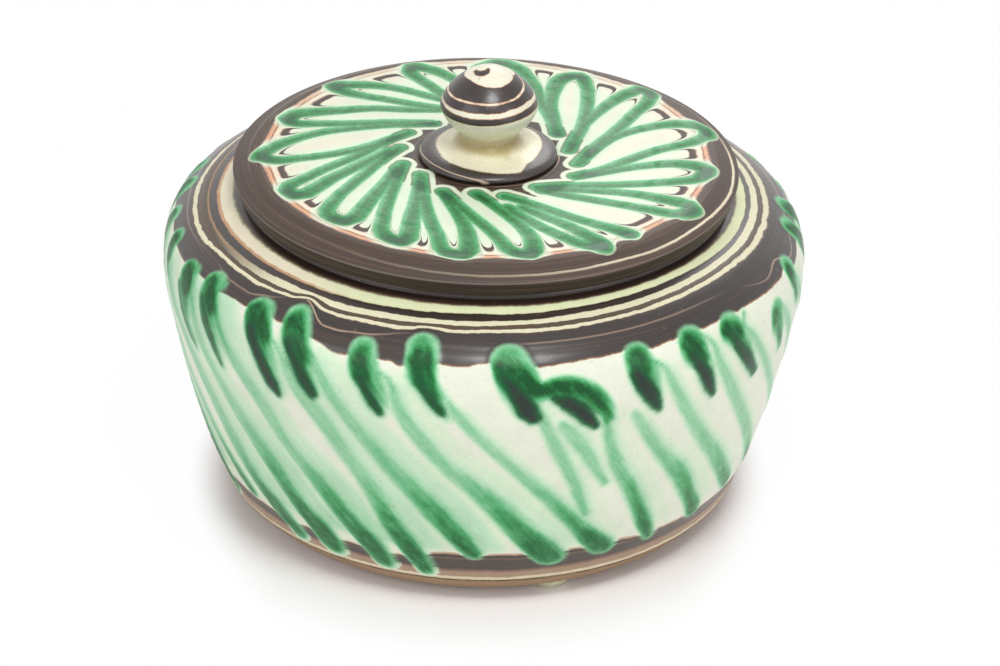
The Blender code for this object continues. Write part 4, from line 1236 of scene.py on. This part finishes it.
lidFinish = {
    # colours by distance from the middle, then by reach into the strokes round the knob
    "rings": ((50, 56.2, "e4e1c9", 0.0), (56.5, 56.5, "8a6248", 0.4), (56.7, 58.2, "33251d", 1.0),
              (58.5, 58.5, "a8795a", 0.1), (58.8, 58.8, "ead6bd", 0.0), (59.9, 59.9, "ebdcc2", 0.0),
              (60.3, 60.3, "b57b56", 0.3), (60.6, 60.6, "8a5a3c", 0.5), (60.9, 60.9, "e2ab84", 0.1),
              (61.7, 61.7, "cf9670", 0.1), (62.2, 62.2, "5a4030", 0.8), (62.6, 63.6, "463830", 1.0),
              (63.9, 63.9, "5c4433", 0.9), (64.3, 74, "463830", 1.0)),
    "collar": ((-8, -2.1, "33271f", 1.0), (-1.85, -1.85, "7a5a46", 0.5), (-1.65, -0.6, "dfe0b6", 0.0),
               (-0.35, -0.35, "6a4c38", 0.6), (-0.1, 2, "4a3428", 0.9)),
    "wander": (1.3, 230.0),
    "hug": -0.55, "pull": (57, 62, 10.0, -3.0),     # how closely and how far a stroke drags the rings along
    "cream": "e4e1c9", "palerBack": (0.02, 0.05, 0.0, 0.75),
    "collarSway": 0.35, "collarEnds": (28.6, 29.6), "collarBack": (0.017, 0.022, 0.0, 4.5),
    "lines": (("thread", "e6d8bb", (0.4, 0.2, 0.5)), ("collar", "d9bfa6", (0.25, 0.08, 0.3, 0.8))),
    "rim": "cfe0bd", "rimReach": (-0.75, -0.4), "rimShow": 0.75,
    "rust": "6b5242", "rustLines": (0.45, 0.75), "rustShow": 0.6,
    "crisp": (0.12, 1.7), "fleck": "8a7358", "fleckShow": 0.25, "mottle": (0.93, 1.05),
    "edge": "2c211a", "streak": "5f4e40", "edgeRuns": (71.2, 71.8), "edgeLines": (0.45, 0.7, 0.0, 0.7),
    # the lighter band on the lid's arris is partly the glaze breaking thin over the edge and partly a painted
    # highlight
    "arris": "8d827e", "arrisHighlightRuns": ((70.6, 71.0), (71.2, 71.6)), "arrisHighlightShow": 0.5,
    "rough": (0.26, 0.4, 0.12), "relief": (0.4, 1.2), "grain": 1.0, "bump": (0.35, 0.00025), "gloss": 0.36,
}


def lidGlaze():
    material, tree, shader = newMaterial("lid trailed glaze")
    finish = lidFinish
    grain = usedGroup(tree, glazeGrain, Scale=finish["grain"])
    where = objectPlace(tree)
    parts = separate(tree, where)
    radius = times(tree, lengthOf(tree, combined(tree, parts["X"], parts["Y"])), 1 / perMillimetre)
    reach = attribute(tree, "inkReach")
    wander = swaying(tree, where, *finish["wander"])
    # rings of slip that a stroke drags along its edge
    out = maths(tree, "MAXIMUM", times(tree, reach, -1.0), 0.0)
    hug = maths(tree, "EXPONENT", maths(tree, "DIVIDE", out, finish["hug"]))
    pull = fade(tree, radius, *finish["pull"])
    ringRun = plus(tree, radius, times(tree, hug, pull), wander)
    outer, outerDark = colourRamp(tree, ringRun, finish["rings"], 50, 74)
    # the peach between the rings is paler at the back
    paler = times(tree, fade(tree, parts["Y"], *finish["palerBack"]), rest(tree, outerDark))
    outer = blend(tree, paler, outer, finish["cream"])
    # round the knob the dark slip reaches up to a pale band that follows the strokes' inner ends
    collarRun = plus(tree, reach, times(tree, wander, finish["collarSway"]))
    inner, innerDark = colourRamp(tree, collarRun, finish["collar"], -8, 2)
    behind = fade(tree, parts["Y"], *finish["collarBack"])
    outward = fade(tree, plus(tree, radius, wander, behind), *finish["collarEnds"])
    slip = blend(tree, outward, inner, outer)
    dark = either(tree, outward, innerDark, outerDark)
    for name, code, sizes in finish["lines"]:
        line = times(tree, thinLine(tree, name, wander, *sizes), attribute(tree, name + "Strength"))
        slip = blend(tree, line, slip, code)
    rim = times(tree, fade(tree, reach, *finish["rimReach"]), finish["rimShow"], dark, outward)
    slip = blend(tree, rim, slip, finish["rim"])
    wheel = usedGroup(tree, wheelLines, Run=radius)
    rusty = times(tree, fade(tree, wheel["Lines"], *finish["rustLines"]), dark, finish["rustShow"])
    slip = blend(tree, rusty, slip, finish["rust"])
    wider, steeper = finish["crisp"]
    crisp = times(tree, plus(tree, reach, wider), steeper)
    ink = inked(tree, slip, crisp, dark, noise(tree, where, 900.0, 5.0, 0.8))
    colour = mottled(tree, grain, flecked(tree, grain, ink["Color"], finish), finish)
    along = attribute(tree, "along")
    side = usedGroup(tree, wheelLines, Run=along)
    streaks = fade(tree, side["Lines"], *finish["edgeLines"])
    wallColour = blend(tree, streaks, finish["edge"], finish["streak"])
    colour = blend(tree, fade(tree, along, *finish["edgeRuns"]), colour, wallColour)
    # a lighter band on the arris: glaze thin over the edge, and a painted highlight along it
    arris = times(tree, within(tree, along, *finish["arrisHighlightRuns"]), finish["arrisHighlightShow"])
    colour = blend(tree, arris, colour, finish["arris"])
    mottle, waviness = finish["relief"]
    height = plus(tree, times(tree, grain["Mottle"], mottle), times(tree, grain["Waviness"], waviness))
    glazed(tree, shader, finish, colour, slipRoughness(tree, grain, dark, finish), height)
    return material


knobFinish = {
    # colours by reach into the dark slip, then by distance beyond the dish's cream
    "slips": ((-3, -3, "ebe7d2", 0.0), (-0.3, -0.3, "ece7d2", 0.0), (-0.14, -0.14, "e6c6a6", 0.1),
              (0.0, 0.0, "8a6048", 0.5), (0.16, 0.16, "2e231f", 1.0), (3, 3, "2b211d", 1.0)),
    "rings": ((-8, -8, "d0c89c", 0.0), (-6, -6, "eee5c8", 0.0), (-0.5, -0.5, "ede6d0", 0.0),
              (-0.1, -0.1, "8a6a50", 0.5), (0.2, 4, "2b201b", 1.0)),
    "wander": (0.7, 420.0), "line": "d9bfa6", "lineWidth": (0.3, 0.05, 0.22, 0.7),
    # painted shade: the ball's lower half is tinted darker and greener, and round the neck under the ball it
    # is painted brown
    "shade": "d3d2a4", "shadeHeights": (12, 7), "shadeShow": 0.16,
    # the brown 'pooled' tint round the neck is painted shade under the ball
    "pooled": "a38a4c", "neckShadeRadii": (11.0, 8.2), "pooledHeights": (9.5, 5.5), "neckShadeShow": 0.75,
    "fleck": "7a6650", "fleckShow": 0.3, "mottle": (0.93, 1.05), "rough": (0.22, 0.3, 0.1),
    "relief": (2.2, 0.7), "reliefByDark": (0.04, 1.0), "grain": 1.0, "bump": (0.4, 0.0002), "gloss": 0.42,
    "shine": 0.5,
}


def knobGlaze():
    material, tree, shader = newMaterial("knob slip glaze")
    finish = knobFinish
    grain = usedGroup(tree, glazeGrain, Scale=finish["grain"])
    where = objectPlace(tree)
    wander = swaying(tree, where, *finish["wander"])
    slipRun = plus(tree, attribute(tree, "slipReach"), wander)
    ball, ballDark = colourRamp(tree, slipRun, finish["slips"], -3, 3)
    dishRun = plus(tree, attribute(tree, "dishRun"), wander)
    foot, footDark = colourRamp(tree, dishRun, finish["rings"], -8, 4)
    foot = blend(tree, thinLine(tree, "lineGap", wander, *finish["lineWidth"]), foot, finish["line"])
    onFoot = attribute(tree, "onFoot")
    slip = blend(tree, onFoot, ball, foot)
    dark = either(tree, onFoot, ballDark, footDark)
    pale = rest(tree, dark)
    parts = separate(tree, where)
    level = times(tree, minus(tree, parts["Z"], heights["knobFoot"]), 1 / perMillimetre)
    flat = combined(tree, minus(tree, parts["X"], knobForm["offset"]), parts["Y"])
    radius = times(tree, lengthOf(tree, flat), 1 / perMillimetre)
    # painted shade on the ball's lower half
    shade = times(tree, fade(tree, level, *finish["shadeHeights"]), pale, finish["shadeShow"])
    # painted shade: brown round the neck, under the ball
    inwards, low = fade(tree, radius, *finish["neckShadeRadii"]), fade(tree, level, *finish["pooledHeights"])
    colour = blend(tree, shade, slip, finish["shade"])
    colour = blend(tree, times(tree, inwards, low, pale, finish["neckShadeShow"]), colour, finish["pooled"])
    colour = mottled(tree, grain, flecked(tree, grain, colour, finish), finish)
    peel, pinholes = finish["relief"]
    height = times(tree, noise(tree, where, 900.0, 3.0, 0.6), peel)
    height = minus(tree, height, times(tree, grain["Pinholes"], pinholes))
    height = times(tree, height, fade(tree, dark, 0, 1, *finish["reliefByDark"]))
    rough = slipRoughness(tree, grain, dark, finish)
    glazed(tree, shader, finish, colour, rough, height, times(tree, dark, finish["shine"]))
    return material


padFinish = {
    "colours": ("e3dfb8", "f0ecd2"), "cloud": 500.0, "rough": (0.18, 0.32), "bump": (0.15, 0.0001),
    "clear": 0.3, "bend": 1.46,
}


def padPlastic():
    material, tree, shader = newMaterial("clear bumper plastic")
    cloud = noise(tree, objectPlace(tree), padFinish["cloud"], 3.0, 0.6)
    strength, distance = padFinish["bump"]
    bump = addNode(tree, "ShaderNodeBump", {"Height": cloud, "Strength": strength, "Distance": distance})
    settings = {
        "Base Color": blend(tree, cloud, *padFinish["colours"]), "Normal": bump.outputs[0],
        "Roughness": fade(tree, cloud, 0.3, 0.7, *padFinish["rough"]),
        "IOR": padFinish["bend"], "Transmission Weight": padFinish["clear"],
    }
    for name, value in settings.items():
        feed(tree, shader.inputs[name], value)
    return material


dressed("jar_pot", jarMesh(), jarGlaze(), "jar", ["jar_body"])
dressed("lid_cover", lidMesh(), lidGlaze(), "lid", ["lid_plate"])
dressed("lid_ball", knobMesh(), knobGlaze(), "lid", ["lid_knob"])
plastic = padPlastic()
for number in range(1, padForm["count"] + 1):
    pad, node = "bumper_" + str(number), "foot_pad_" + str(number)
    dressed(pad, padMesh(pad, number), plastic, "jar", [node])

studio = {
    "cameraPlace": (0, -0.87328, 0.52776), "pitch": 0.5061, "yaw": 0.0057, "roll": 0.0236, "lens": 126,
    "sensor": 36, "skyLevel": 0.46,
    # each lamp: where it stands, how wide it is, its watts
    "lamps": (((0.14, -0.5, 1.1), 0.4, 5.8), ((0.2, 0.95, 0.85), 0.7, 3.4), ((-0.95, -0.8, 0.75), 0.9, 3.9),
              ((0.95, -0.9, 0.6), 0.9, 3.0)),
    "lookAt": (0, 0, 0.06),
    "floorSize": 3.0, "paper": ("f6f3f3", "fffcfd"), "paperRough": 0.9,
    "shadowEnds": (0.079, 0.103), "glow": (0.02, 0.97),     # how white the paper is in and past the shadow
    "sideStarts": 0.055, "sideShare": 0.6,      # past this X the shadow is shorter, by this share of the way
}


def addCamera():
    pitch, yaw, roll = studio["pitch"], studio["yaw"], studio["roll"]
    forward = Vector((math.sin(yaw) * math.cos(pitch), math.cos(yaw) * math.cos(pitch), -math.sin(pitch)))
    right = Vector((math.cos(yaw), -math.sin(yaw), 0))
    up = right.cross(forward)
    tiltedRight = right * math.cos(roll) + up * math.sin(roll)
    tiltedUp = up * math.cos(roll) - right * math.sin(roll)
    camera = bpy.data.objects.new("photoCamera", bpy.data.cameras.new("photoCamera"))
    camera.data.lens = studio["lens"]
    camera.data.sensor_width = studio["sensor"]
    axes = Matrix((tiltedRight, tiltedUp, -forward)).transposed().to_4x4()
    camera.matrix_world = Matrix.Translation(studio["cameraPlace"]) @ axes
    bpy.context.scene.collection.objects.link(camera)
    bpy.context.scene.camera = camera


def addLamps():
    for place, size, watts in studio["lamps"]:
        lamp = bpy.data.objects.new("softBox", bpy.data.lights.new("softBox", "AREA"))
        lamp.data.shape = "DISK"
        lamp.data.size = size
        lamp.data.energy = watts
        lamp.location = place
        lamp.rotation_euler = (Vector(studio["lookAt"]) - Vector(place)).to_track_quat("-Z", "Y").to_euler()
        bpy.context.scene.collection.objects.link(lamp)


def addWorld():
    world = bpy.data.worlds.new("whiteRoom")
    world.use_nodes = True
    bpy.context.scene.world = world
    tree = world.node_tree
    background = tree.nodes["Background"]
    background.inputs["Color"].default_value = (1, 1, 1, 1)
    path = addNode(tree, "ShaderNodeLightPath").outputs
    seen = maths(tree, "MAXIMUM", path["Is Glossy Ray"], path["Is Transmission Ray"])
    seen = maths(tree, "MAXIMUM", path["Is Camera Ray"], seen)
    feed(tree, background.inputs["Strength"], maths(tree, "MAXIMUM", seen, studio["skyLevel"]))


def addFloor():
    shape = bmesh.new()
    bmesh.ops.create_grid(shape, x_segments=1, y_segments=1, size=studio["floorSize"] / 2)
    mesh = bpy.data.meshes.new("paperFloor")
    shape.to_mesh(mesh)
    shape.free()
    floor = bpy.data.objects.new("paperFloor", mesh)
    material, tree, shader = newMaterial("white paper")
    where = objectPlace(tree)
    feed(tree, shader.inputs["Base Color"], blend(tree, noise(tree, where, 900.0), *studio["paper"]))
    shader.inputs["Roughness"].default_value = studio["paperRough"]
    shader.inputs["Specular IOR Level"].default_value = 0.0
    # away from the object the camera sees the paper as plain white; near it the shadow stays, longer in front
    # and behind than at the sides
    lit = addNode(tree, "ShaderNodeEmission", {"Color": (1, 1, 1, 1)})
    sideways = maths(tree, "ABSOLUTE", separate(tree, where)["X"])
    beyond = maths(tree, "MAXIMUM", minus(tree, sideways, studio["sideStarts"]), 0.0)
    away = plus(tree, lengthOf(tree, where), times(tree, beyond, studio["sideShare"]))
    glow = fade(tree, away, *studio["shadowEnds"], *studio["glow"])
    share = times(tree, addNode(tree, "ShaderNodeLightPath").outputs["Is Camera Ray"], glow)
    both = addNode(tree, "ShaderNodeMixShader", {"Fac": share, 1: shader.outputs[0], 2: lit.outputs[0]})
    feed(tree, tree.nodes["Material Output"].inputs["Surface"], both.outputs[0])
    mesh.materials.append(material)
    bpy.context.scene.collection.objects.link(floor)


addCamera()
addLamps()
addWorld()
addFloor()
bpy.context.scene.view_settings.view_transform = "Standard"
print("stage set")
